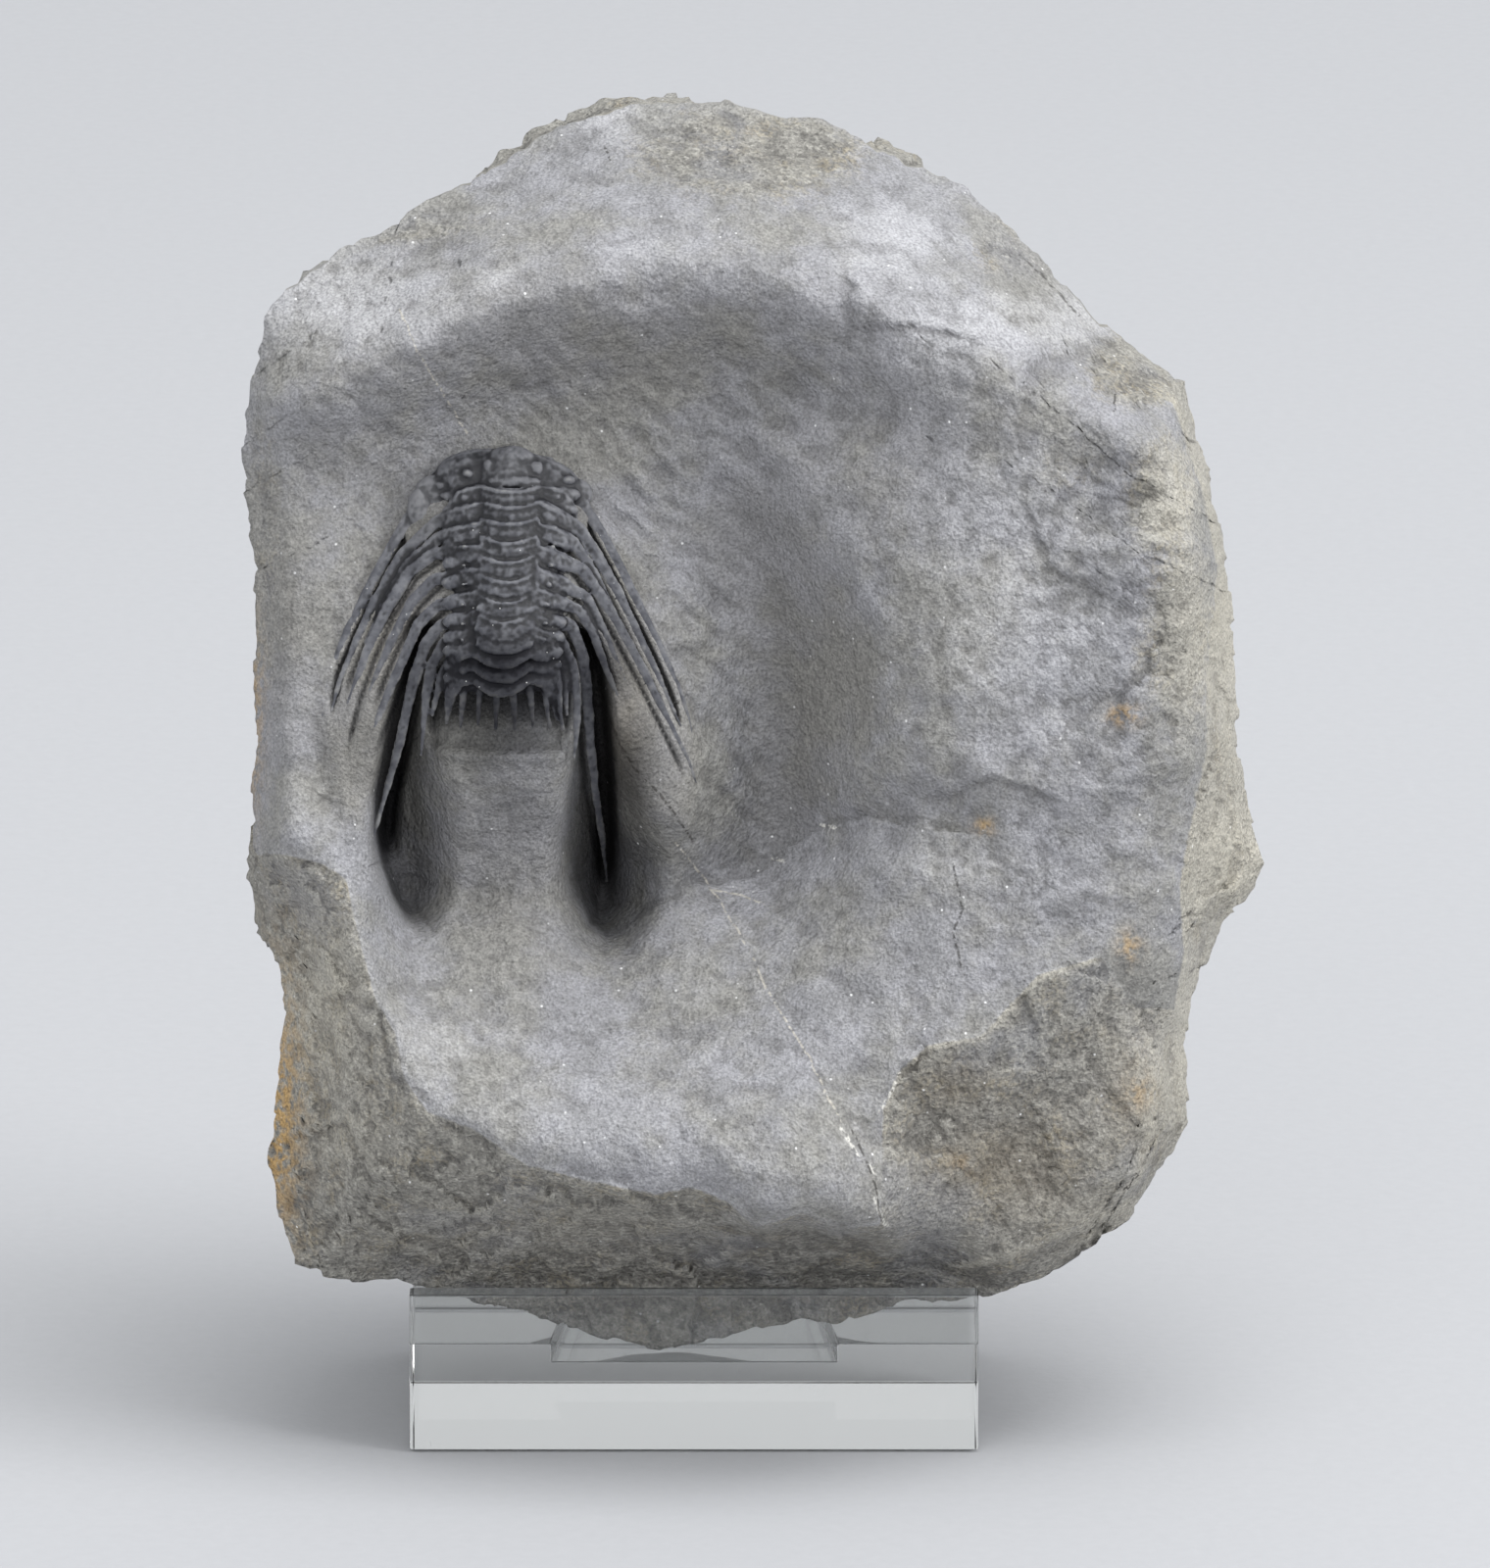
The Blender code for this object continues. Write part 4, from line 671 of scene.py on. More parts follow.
def ripples(spots):
    """Slanting tool marks of the prepared bowl."""
    turn = math.radians(RIPPLE_SLANT)
    along = spots[:, 0] * math.cos(turn) + spots[:, 1] * math.sin(turn)
    beside = spots[:, 1] * math.cos(turn) - spots[:, 0] * math.sin(turn)
    return lumps(np.column_stack((along / 2.6, beside, 0.0 * along)), 2.3)


def streaks(spots):
    """Fine lines in the rock that fan out between the fossil's spines."""
    across = spots[:, 0] - FAN_CENTRE[0]
    down = FAN_CENTRE[1] - spots[:, 1]
    turn = np.degrees(np.arctan2(across, down + 4.0))
    return lumps(np.column_stack((turn * 0.45, np.hypot(across, down) / 9.0, 0.0 * turn)), 1.0)


def spine_grooves(spots):
    """Depth of the narrow grooves along the inner side of every spine."""
    total = np.zeros(len(spots))
    for inner, genal, ribs in ((1.0, GENAL_LEFT, RIBS_LEFT), (-1.0, GENAL_RIGHT, RIBS_RIGHT)):
        for route, depth in ((genal, GENAL_GROOVE),) + tuple((rib, RIB_GROOVE) for rib in ribs):
            distance, side = near_line(spots, route[1:])
            beside = np.sign(side) * inner * distance - GROOVE_SHIFT
            tip = rise((np.hypot(*(spots - route[-1]).T) - TIP_FADE[0]) / TIP_FADE[1])
            total = np.maximum(total, depth * tip * np.exp(-(beside / GROOVE_HALF) ** 2))
    return total


def stone_front(bed, rim):
    """Points of the front sheet, and how broken the stone is at each.

    Each kind of relief is its strength times a pattern of one size, both in millimetres.
    """
    front = patch(*rim_sides(rim[:, :2], COLUMNS, ROWS)).reshape(-1, 2)
    heights = bed(front) - pit_depth(front) - recess_depth(front) - slot_depth(front)
    sway = [lumps(np.insert(front, 2, place, axis=1), SWAY_SIZE) for place in (0.0, 9.0)]
    swayed = front + SWAY * np.column_stack(sway)
    for route in LEDGES:
        heights -= LEDGE_DROP * ledge(swayed, route, LEDGE_FADE)
    heights += CREASE_RISE * ledge(swayed, CREASE, CREASE_FADE)
    heights -= spine_grooves(front)
    for route in ARRISES:
        heights += ARRIS_RISE * np.maximum(0.0, 1.0 - near_line(front, route)[0] / ARRIS_REACH)
    broken = np.max([rise(0.5 + depth_inside(front, area)) for area in BROKEN_AREAS], axis=0)
    fan = fan_share(front)
    heights += FAN_RAISED * fan
    points = np.column_stack((front, heights))
    smooth = rise(depth_inside(front, TROUGH_AREA) / 3.0)
    tooled = blobs(front, TOOLED)
    scoops = 0.50 * lumps(points, 4.2, 3) + 0.12 * lumps(points + 50.0, 1.5)
    flaky = flakes(points * np.array((0.7, 1.0, 0.5)), 7.0, 4.0)
    scales = (0.25 * facets(swayed_points(points), 4.5) + 1.9 * flaky) * blobs(front, SCALY)
    layered = points * np.array((0.12, 1.0, 0.3))
    layers = (0.35 * lumps(layered, 1.6) + 1.1 * flakes(layered, 4.5, 4.0)) * blobs(front, LAYERED)
    prepared = scoops * (1.0 - 0.75 * smooth) + 1.3 * ripples(front) * tooled + scales + layers
    prepared *= 1.0 - fan
    prepared += 0.22 * streaks(front) * fan
    rough = 0.60 * lumps(points, 4.5) + 0.30 * lumps(points + 80.0, 1.7, 3) + 0.9 * facets(points, 8.0)
    rough += 0.4 * facets(swayed_points(points), 3.5)
    rough *= 1.0 - 0.45 * rise(depth_inside(front, FACET_AREA) / 2.0)
    points[:, 2] += prepared * (1.0 - broken) + rough * broken
    points[:, 2] = seat(front, points[:, 2])
    return points, broken


def stone_shape(bed):
    """Points and faces of the block, and how broken the stone is at each point."""
    rim = stone_rim()
    front, broken = stone_front(bed, rim)
    edge = np.concatenate((np.arange(COLUMNS), COLUMNS + np.arange(ROWS) * (COLUMNS + 1),
                           ROWS * (COLUMNS + 1) + np.arange(COLUMNS, 0, -1),
                           np.arange(ROWS, 0, -1) * (COLUMNS + 1)))
    layers = [front]
    centre = np.array(STONE_CENTRE)
    start = front[edge]
    even = np.mean([np.roll(start, step, axis=0) for step in range(-RIM_EVEN, RIM_EVEN + 1)], axis=0)
    for share in np.linspace(0.0, 1.0, SIDE_STEPS + 1)[1:]:
        away = rise(share * 3.0)
        outer = start + (even - start) * away
        depth = (outer[:, 2] - STONE_BACK) * share
        inset = BACK_INSET * share ** 1.9 + EDGE_ROUND * max(0.0, share - 0.75) ** 2
        outward = outer[:, :2] - centre
        spots = centre + outward * (1.0 - inset)
        spots[:, 1] += BACK_LIFT * depth
        ring = np.column_stack((spots, outer[:, 2] - depth))
        crooked = swayed_points(ring)
        uneven = 0.9 * lumps(ring, 7.0) + 2.6 * facets(crooked, 17.0) + 1.4 * flakes(ring, 9.0, 3.0)
        uneven += 0.5 * facets(crooked + 60.0, 4.0) + 0.3 * lumps(ring + 80.0, 2.2, 3) - SIDE_ROOM
        uneven *= away * rise((ring[:, 1] - STAND_CLEAR[0]) / STAND_CLEAR[1])
        outward /= np.hypot(*outward.T)[:, None]
        layers.append(ring + uneven[:, None] * np.insert(outward, 2, 0.2, axis=1))
    sides = rim_sides(layers[-1][::BACK_STRIDE], COLUMNS // BACK_STRIDE, ROWS // BACK_STRIDE)
    inner = patch(*sides)[1:-1, 1:-1].reshape(-1, 3)
    crooked = swayed_points(inner)
    inner[:, 2] += BACK_ROOM + 1.8 * lumps(inner, 22.0) + 2.2 * facets(crooked, 20.0)
    layered = 1.2 * flakes(inner, 13.0, 3.0) + 0.5 * facets(crooked, 5.0)
    inner[:, 2] += layered + 0.4 * lumps(inner, 4.0, 3)
    layers.append(inner)
    points = np.concatenate(layers)
    broken = np.concatenate((broken, np.ones(len(points) - len(front))))
    return points, broken, stone_faces(edge, len(front))


def stone_faces(edge, front_count):
    """Faces of the front sheet, the side rings and the coarser back sheet."""
    front = np.arange(front_count).reshape(ROWS + 1, COLUMNS + 1)
    starts = front_count + len(edge) * np.arange(SIDE_STEPS)
    rings = [edge] + [start + np.arange(len(edge)) for start in starts]
    rows, columns = ROWS // BACK_STRIDE, COLUMNS // BACK_STRIDE
    back = np.zeros((rows + 1, columns + 1), dtype=int)
    inner = rings[-1][-1] + 1 + np.arange((rows - 1) * (columns - 1))
    back[1:-1, 1:-1] = inner.reshape(rows - 1, columns - 1)
    back[0], back[:, -1], back[-1], back[:, 0] = rim_sides(rings[-1][::BACK_STRIDE], columns, rows)
    faces = []
    for near, far in zip(rings, rings[1:]):
        faces += np.stack((near, np.roll(near, -1), np.roll(far, -1), far), axis=-1).tolist()
    quads = [np.stack((sheet[:-1, :-1], sheet[1:, :-1], sheet[1:, 1:], sheet[:-1, 1:]), axis=-1)
             for sheet in (front, back)]
    faces += quads[0].reshape(-1, 4).tolist()
    between = {}
    loop = rings[-1].tolist() + rings[-1][:1].tolist()
    for start in range(0, len(loop) - 1, BACK_STRIDE):
        steps = loop[start:start + BACK_STRIDE + 1]
        between[steps[0], steps[-1]] = steps[1:-1]
        between[steps[-1], steps[0]] = steps[-2:0:-1]
    for corners in quads[1].reshape(-1, 4)[:, ::-1].tolist():
        face = []
        for here, after in zip(corners, corners[1:] + corners[:1]):
            face += [here, *between.get((here, after), ())]
        faces.append(face)
    return faces


def store(mesh, name, values):
    """Keep one number at each vertex for the material."""
    kept = mesh.attributes.new(name, "FLOAT", "POINT")
    kept.data.foreach_set("value", np.asarray(values, dtype=np.float32))


def at_vertices(mesh, name):
    """The place or the normal of each vertex, one row each."""
    values = np.empty(len(mesh.vertices) * 3)
    mesh.vertices.foreach_get(name, values)
    return values.reshape(-1, 3)


def bulge(mesh, rounds):
    """How far each vertex stands out from its neighbours' mean, after smoothing."""
    places = at_vertices(mesh, "co")
    ends = np.empty(len(mesh.edges) * 2, dtype=np.int32)
    mesh.edges.foreach_get("vertices", ends)
    first, second = ends.reshape(-1, 2).T
    count = np.bincount(first, minlength=len(places)) + np.bincount(second, minlength=len(places))
    smooth = places.copy()
    for _ in range(rounds):
        total = np.column_stack([np.bincount(first, smooth[second, axis], len(places))
                                 + np.bincount(second, smooth[first, axis], len(places))
                                 for axis in range(3)])
        smooth = total / count[:, None]
    return np.sum((places - smooth) * at_vertices(mesh, "normal"), axis=1) / MM


def roughen(mesh):
    """Push the fossil's surface in and out a little, as weathered shell is."""
    points = at_vertices(mesh, "co") / MM
    uneven = 0.08 * lumps(points, 0.9, 2) + 0.12 * lumps(points + 30.0, 2.8, 1)
    points += uneven[:, None] * at_vertices(mesh, "normal")
    mesh.vertices.foreach_set("co", (points * MM).ravel())
    mesh.update()


def show(name, mesh, node, material):
    """Link a piece that takes the place of a solid."""
    piece = bpy.data.objects.new(name, mesh)
    bpy.context.scene.collection.objects.link(piece)
    mesh.materials.clear()
    mesh.materials.append(material)
    mesh.shade_smooth()
    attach(piece, "root")
    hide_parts(node)


def add_stone(bed):
    points, broken, faces = stone_shape(bed)
    mesh = bpy.data.meshes.new("limestone_block")
    mesh.from_pydata(points.tolist(), [], faces)
    mesh.transform(leaning())
    mesh.update()
    spots = points[:, :2]
    front = points[:, 2] > STONE_BACK + FRONT_ROOM
    store(mesh, "broken", np.maximum(broken, blobs(spots, GRAINY)))
    # Powder with a painted highlight along the lips of the broken stone
    lip_dust_and_highlight = np.max([rise(1.0 - np.abs(depth_inside(spots, area)) / EDGE_REACH)
                  for area in (BAND_AREA, FACET_AREA)], axis=0)
    store(mesh, "lip_dust_and_highlight", lip_dust_and_highlight * front)
    lower = LOWER_POWDER * rise(depth_inside(spots, LOWER_AREA) / 1.2)
    store(mesh, "powder", np.maximum(blobs(spots, POWDER), lower) * front)
    # Painted shade in the smooth trough and the other hollows
    trough_shade = TROUGH_SHADE * rise(depth_inside(spots, TROUGH_AREA) / 2.5)
    store(mesh, "hollow_shade", np.maximum(blobs(spots, HOLLOW_SHADE), trough_shade) * front)
    # Painted highlight on the sharp edges, over paler rock with painted light on the lit side
    edges = np.min([near_line(spots, route)[0] for route in ARRISES], axis=0)
    edges = ARRIS_HIGHLIGHT * rise(1.0 - edges / EDGE_REACH) * front
    store(mesh, "pale_and_lit", np.maximum(blobs(spots, PALE_AND_LIT), edges))
    store(mesh, "fan", fan_share(spots) * front)
    # Painted shade in the slots, the recess and round the pits
    sunk_shade = rise((slot_depth(spots) + recess_depth(spots) - 0.5) / 3.5)
    store(mesh, "shade", np.maximum(sunk_shade, blobs(spots, SHADE_SPOTS)) * front)
    # Painted shade on the rock round the fossil's body
    store(mesh, "body", blobs(spots, BODY_SHADE) * front)
    # Painted shade in the grooves beside the fossil's spines
    store(mesh, "groove_shade", spine_grooves(spots) * front)
    store(mesh, "ochre", blobs(spots, OCHRE))
    store(mesh, "brown", blobs(spots, BROWN) * front)
    store(mesh, "bulge", bulge(mesh, 3))
    show("limestone_block", mesh, "matrix", limestone())


def add_ridge(shape, points, half_widths, half_heights, tilts, sides=10):
    """Add a closed tapering ridge of oval section, its hind edge lifted by a tilt."""
    rings = []
    for index, point in enumerate(points):
        along = points[min(index + 1, len(points) - 1)] - points[max(index - 1, 0)]
        along.normalize()
        beside = along.cross(Vector((0.0, 0.0, 1.0))).normalized()
        over = beside.cross(along)
        beside, over = (beside * math.cos(tilts[index]) + over * math.sin(tilts[index]),
                        over * math.cos(tilts[index]) - beside * math.sin(tilts[index]))
        rings.append([shape.verts.new(point + beside * (half_widths[index] * math.cos(angle))
                                      + over * (half_heights[index] * math.sin(angle)))
                      for angle in np.linspace(0.0, math.tau, sides + 1)[:-1]])
    for near, far in zip(rings, rings[1:]):
        for step in range(sides):
            beside = (step + 1) % sides
            shape.faces.new((near[step], near[beside], far[beside], far[step]))
    shape.faces.new(rings[0][::-1])
    shape.faces.new(rings[-1])


def add_lump(shape, centre, radii):
    place = Matrix.Translation(centre) @ Matrix.Diagonal((*radii, 1.0))
    bmesh.ops.create_icosphere(shape, subdivisions=3, radius=1.0, matrix=place)


def axis_at(height):
    """Where the fossil's middle line is across, at a height."""
    return AXIS_TOP[0] + AXIS_SLANT * (AXIS_TOP[1] - height)


def rock_at(bed, spots):
    """The rock's height at spots under the fossil."""
    spots = np.asarray(spots, dtype=float)
    return bed(spots) + FAN_RAISED * fan_share(spots)


def in_space(spots, heights):
    return [Vector((x, y, z)) for (x, y), z in zip(spots, heights)]


def add_segment(shape, bed, left, middle, right, sizes, drops):
    """Add one body ring with its two spines as a single flat ridge from tip to tip."""
    width, thickness, spine_width = sizes
    route = np.array(left[::-1] + middle + right)
    steps = np.concatenate(([0.0], np.cumsum(np.hypot(*np.diff(route, axis=0).T))))
    middle_reach = steps[len(left) + len(middle) // 2]
    spots = sample(route, spacing=0.4)
    reach = np.linspace(0.0, steps[-1], len(spots)) - middle_reach
    share = np.where(reach < 0.0, reach / -middle_reach, reach / (steps[-1] - middle_reach))
    away = np.abs(reach)
    body = rise(1.0 - (away - RING_HALF) / 3.0)
    taper = 1.0 - share ** 2.4
    spine = SPINE_LIFT[0] + (SPINE_LIFT[1] - SPINE_LIFT[0]) * share
    lift = np.interp(away, *SEGMENT_LIFT) * body + spine * (1.0 - body)
    drop = np.where(reach < 0.0, drops[0], drops[1]) * share ** 2
    heights = rock_at(bed, spots) + lift - drop
    wide = SPINE_TIP + (spine_width + (width - spine_width) * body - SPINE_TIP) * taper
    thick = SPINE_TIP + (RING_THICK + (thickness - RING_THICK) * body - SPINE_TIP) * taper
    tilts = np.radians(SPINE_TILT + (RING_TILT - SPINE_TILT) * body)
    points = in_space(spots, heights)
    add_ridge(shape, points, wide, thick, tilts)
    return points, body


def add_fore_ridge(shape, points, body):
    """Add the narrow fore ridge of a body ring, above its hind edge."""
    inner = [(point, wide) for point, wide in zip(points, body) if wide > 0.02]
    places = [point + Vector((0.0, FORE_RIDGE_UP, 0.02)) for point, _ in inner]
    sizes = np.array([0.10 + 0.14 * wide for _, wide in inner])
    add_ridge(shape, places, sizes, sizes, np.zeros(len(inner)))


def fossil_shape(bed):
    """All ridges, lumps and spines of the fossil, overlapping, in the leaning frame."""
    shape = bmesh.new()
    for x, y, lift, *radii in HEAD_LUMPS:
        add_lump(shape, Vector((x, y, rock_at(bed, [(x, y)])[0] + lift)), radii)
    sizes = (HEAD_WIDTH, HEAD_THICK, GENAL_WIDTH)
    add_segment(shape, bed, GENAL_LEFT, HEAD_ARCH, GENAL_RIGHT, sizes, (0.0, 0.0))
    sizes = (RING_WIDTH, RING_THICK, SPINE_WIDTH)
    for index, height in enumerate(RING_HEIGHTS):
        slim = 1.0 - RING_SLIM * index
        middle = axis_at(height)
        arch = []
        for across, up in RING_ARCH:
            sag = RING_SAG * index * (1.0 - (across / RING_ARCH[-1][0]) ** 2)
            arch.append((middle + across * slim, height + up - sag))
        level = rock_at(bed, [(middle, height)])[0] - RING_BODY_SINK
        wide, *others = RING_BODY
        add_lump(shape, Vector((middle, height, level)), (wide * slim, *others))
        rib = index - 1
        drops = (0.0, 0.0)
        if 0 <= rib < len(RIBS_LEFT):
            left, right = RIBS_LEFT[rib], RIBS_RIGHT[rib]
            if rib == LONG_RIB:
                drops = (LONG_RIB_DROP_LEFT, LONG_RIB_DROP_RIGHT)
        else:
            left, right = (tuple((middle + side * across * slim, height + up) for across, up in RING_END)
                           for side in (-1, 1))
        points, body = add_segment(shape, bed, left, tuple(arch), right, sizes, drops)
        if index < FORE_RIDGES:
            add_fore_ridge(shape, points, body)
        for side in (-1, 1):
            spot = (middle + side * TUBERCLE_REACH * slim, height - 0.2)
            add_lump(shape, Vector((*spot, rock_at(bed, [spot])[0] + TUBERCLE_LIFT)), TUBERCLE_SIZE)
    for start, end in PYGIDIAL_SPINES:
        spots = sample((start, end), spacing=0.5)
        share = np.linspace(0.0, 1.0, len(spots))
        heights = rock_at(bed, [start])[0] + TAIL_SPINE_LIFT - TAIL_SPINE_DROP * share ** 2
        size = TAIL_SPINE_WIDTH - TAIL_SPINE_TAPER * share
        add_ridge(shape, in_space(spots, heights), size, size, 0.0 * share)
    bmesh.ops.recalc_face_normals(shape, faces=shape.faces)
    return shape


def finished(item):
    """The item's mesh with its modifiers applied, and the item itself gone."""
    bpy.context.view_layer.update()
    graph = bpy.context.evaluated_depsgraph_get()
    mesh = bpy.data.meshes.new_from_object(item.evaluated_get(graph))
    bpy.data.objects.remove(item)
    return mesh


def work_item(name, shape):
    """A bmesh as an object to run modifiers on."""
    mesh = bpy.data.meshes.new(name)
    shape.to_mesh(mesh)
    shape.free()
    item = bpy.data.objects.new(name, mesh)
    bpy.context.scene.collection.objects.link(item)
    return item


def add_fossil(bed):
    shape = fossil_shape(bed)
    item = work_item("fossil_form", shape)
    item.data.transform(leaning())
    fuse = item.modifiers.new("Fuse", "REMESH")
    fuse.mode = "VOXEL"
    fuse.voxel_size = FOSSIL_VOXEL
    soften = item.modifiers.new("Soften", "SMOOTH")
    soften.iterations = 2
    mesh = finished(item)
    mesh.name = "spiny_trilobite"
    roughen(mesh)
    lean = np.array(leaning().inverted())
    spots = at_vertices(mesh, "co") @ lean[:2, :3].T + lean[:2, 3]
    # Painted shade at the tail and in the spots of shade
    tail_shade = rise((TAIL_SHADE[0] - spots[:, 1]) / TAIL_SHADE[1]) * blobs(spots, TAIL_SHADE_SPOTS)
    store(mesh, "shade", np.maximum(blobs(spots, SHADE_SPOTS), tail_shade))
    store(mesh, "worn", blobs(spots, HEAD_WORN))
    store(mesh, "bulge", bulge(mesh, 5))
    store(mesh, "hollow", bulge(mesh, 40))
    show("spiny_trilobite", mesh, "trilobite", shell())


def swept(name, corners, along):
    """An object whose solid is a flat face swept in one direction."""
    shape = bmesh.new()
    face = shape.faces.new([shape.verts.new(corner) for corner in corners])
    parts = bmesh.ops.extrude_face_region(shape, geom=[face])["geom"]
    moved = [part for part in parts if isinstance(part, bmesh.types.BMVert)]
    bmesh.ops.translate(shape, verts=moved, vec=along)
    bmesh.ops.recalc_face_normals(shape, faces=shape.faces)
    return work_item(name, shape)


def add_stand():
    """Block with a channel along its top and a deeper tapering notch in the middle."""
    near = -STAND_DEPTH / 2 + STAND_FRONT_WALL
    far = STAND_DEPTH / 2 - STAND_BACK_WALL
    profile = ((-STAND_DEPTH / 2, 0.0), (STAND_DEPTH / 2, 0.0), (STAND_DEPTH / 2, STAND_HEIGHT),
               (far, STAND_HEIGHT), (far, CHANNEL_FLOOR), (near, CHANNEL_FLOOR), (near, STAND_HEIGHT),
               (-STAND_DEPTH / 2, STAND_HEIGHT))
    ends = [(-STAND_WIDTH / 2, y, z) for y, z in profile]
    block = swept("stand_form", ends, (STAND_WIDTH, 0.0, 0.0))
    corners = [(side * width / 2, y, NOTCH_FLOOR) for side, width, y in
               ((-1, NOTCH_FRONT_WIDTH, near), (1, NOTCH_FRONT_WIDTH, near),
                (1, NOTCH_BACK_WIDTH, far), (-1, NOTCH_BACK_WIDTH, far))]
    notch = swept("notch_form", corners, (0.0, 0.0, STAND_HEIGHT))
    cut = block.modifiers.new("Notch", "BOOLEAN")
    cut.operation = "DIFFERENCE"
    cut.solver = "EXACT"
    cut.object = notch
    edges = block.modifiers.new("Edges", "BEVEL")
    edges.width = STAND_BEVEL
    edges.segments = 2
    edges.harden_normals = True
    mesh = finished(block)
    mesh.name = "clear_stand"
    bpy.data.objects.remove(notch)
    show("clear_stand", mesh, "stand", acrylic())
    mesh.shade_flat()


class Paint:
    """A material's nodes, with short ways to add what its look is made of."""

    def __init__(self, name):
        self.material = bpy.data.materials.new(name)
        self.material.use_nodes = True
        self.tree = self.material.node_tree
        self.shader = self.tree.nodes["Principled BSDF"]
        self.place = self.add("TexCoord").outputs["Object"]

    def put(self, socket, value):
        if isinstance(value, bpy.types.NodeSocket):
            self.tree.links.new(value, socket)
        else:
            socket.default_value = value

    def add(self, kind, inputs=(), **settings):
        node = self.tree.nodes.new("ShaderNode" + kind)
        for name, value in settings.items():
            setattr(node, name, value)
        for key, value in inputs:
            self.put(node.inputs[key], value)
        return node

    def give(self, name, value):
        """Set or link one of the shader's own inputs."""
        self.put(self.shader.inputs[name], value)

    def math(self, operation, *values, clamp=False):
        return self.add("Math", enumerate(values), operation=operation, use_clamp=clamp).outputs[0]

    def times(self, first, second):
        return self.math("MULTIPLY", first, second)

    def ramp(self, value, factor, start):
        """A value times a factor, added to a start."""
        return self.math("MULTIPLY_ADD", value, factor, start)

    def vector(self, operation, *values, result="Vector"):
        return self.add("VectorMath", enumerate(values), operation=operation).outputs[result]

    def dot(self, first, second):
        return self.vector("DOT_PRODUCT", first, second, result="Value")

    def scaled(self, vector, factor):
        inputs = ((0, vector), ("Scale", factor))
        return self.add("VectorMath", inputs, operation="SCALE").outputs[0]

    def fade(self, value, low, high):
        """0 at the low value to 1 at the high one."""
        inputs = (("Value", value), ("From Min", low), ("From Max", high))
        return self.add("MapRange", inputs, interpolation_type="SMOOTHSTEP").outputs["Result"]

    def mix(self, share, first, second):
        """A share of the second colour over the first, each a socket or as seen on screen."""
        inputs = ((0, share), (6, colour(first)), (7, colour(second)))
        return self.add("Mix", inputs, data_type="RGBA").outputs[2]

    def tint(self, tone, share, strength, shade):
        """A colour over a tone, by a share and a strength."""
        return self.mix(self.times(share, strength), tone, shade)

    def stored(self, name):
        return self.add("Attribute", attribute_name=name).outputs["Fac"]

    def noise(self, size, detail=3.0, rough=0.55, place=None):
        """Soft noise from 0 to 1, of one size in millimetres."""
        inputs = (("Vector", place or self.place), ("Scale", 1.0 / (size * MM)), ("Detail", detail),
                  ("Roughness", rough))
        return self.add("TexNoise", inputs).outputs[0]

    def cells(self, size, place=None):
        """Distance to the nearest seed and a level for each cell, of one size in millimetres."""
        inputs = (("Vector", place or self.place), ("Scale", 1.0 / (size * MM)))
        cell = self.add("TexVoronoi", inputs).outputs
        return cell["Distance"], self.add("SeparateColor", ((0, cell["Color"]),)).outputs[0]

    def specks(self, size, reach, share):
        """1 on small round specks, in a share of the cells of one size in millimetres."""
        distance, level = self.cells(size)
        return self.times(self.math("LESS_THAN", level, share), self.fade(distance, reach, reach * 0.5))

    def chips(self, size):
        """A level for each crooked flat chip, of one size in millimetres."""
        inputs = (("Vector", self.place), ("Scale", 2.0 / (size * MM)))
        sway = self.scaled(self.add("TexNoise", inputs).outputs["Color"], 0.7 * size * MM)
        place = self.vector("ADD", self.place, sway)
        return self.cells(size, place)[1]

    def line(self, spot, routes):
        """Distance in millimetres from a spot to the nearest of some polylines."""
        nearest = None
        for route in routes:
            for start, end in zip(route, route[1:]):
                start, along = Vector((*start, 0.0)), Vector((*end, 0.0)) - Vector((*start, 0.0))
                away = self.vector("SUBTRACT", spot, start)
                share = self.dot(away, along / along.length_squared)
                share = self.math("ADD", share, 0.0, clamp=True)
                length = self.vector("DISTANCE", away, self.scaled(along, share), result="Value")
                nearest = length if nearest is None else self.math("MINIMUM", nearest, length)
        return nearest

    def bump(self, height, strength, depth, below=None):
        inputs = [("Height", height), ("Strength", strength), ("Distance", depth * MM)]
        if below is not None:
            inputs.append(("Normal", below))
        return self.add("Bump", inputs).outputs[0]


def colour(seen):
    """A colour as it looks on screen, from 0 to 255, as the shader wants it, or a socket itself."""
    if isinstance(seen, bpy.types.NodeSocket):
        return seen
    shares = [value / 255.0 for value in seen]
    return tuple(share / 12.92 if share < 0.04045 else ((share + 0.055) / 1.055) ** 2.4
                 for share in shares) + (1.0,)


def front_place(paint):
    """Across and up in millimetres in the leaning frame, a little wavy, as one vector."""
    wave = paint.noise(2.2)
    across = paint.dot(paint.place, (1.0 / MM, 0.0, 0.0))
    up = paint.dot(paint.place, (0.0, math.sin(LEAN) / MM, math.cos(LEAN) / MM))
    shift = STAND_DEPTH / 2 / MM * math.sin(LEAN)
    across = paint.math("ADD", across, paint.times(wave, 0.8))
    return paint.add("CombineXYZ", ((0, paint.math("SUBTRACT", across, 0.4)),
                                    (1, paint.math("ADD", up, shift)))).outputs[0]


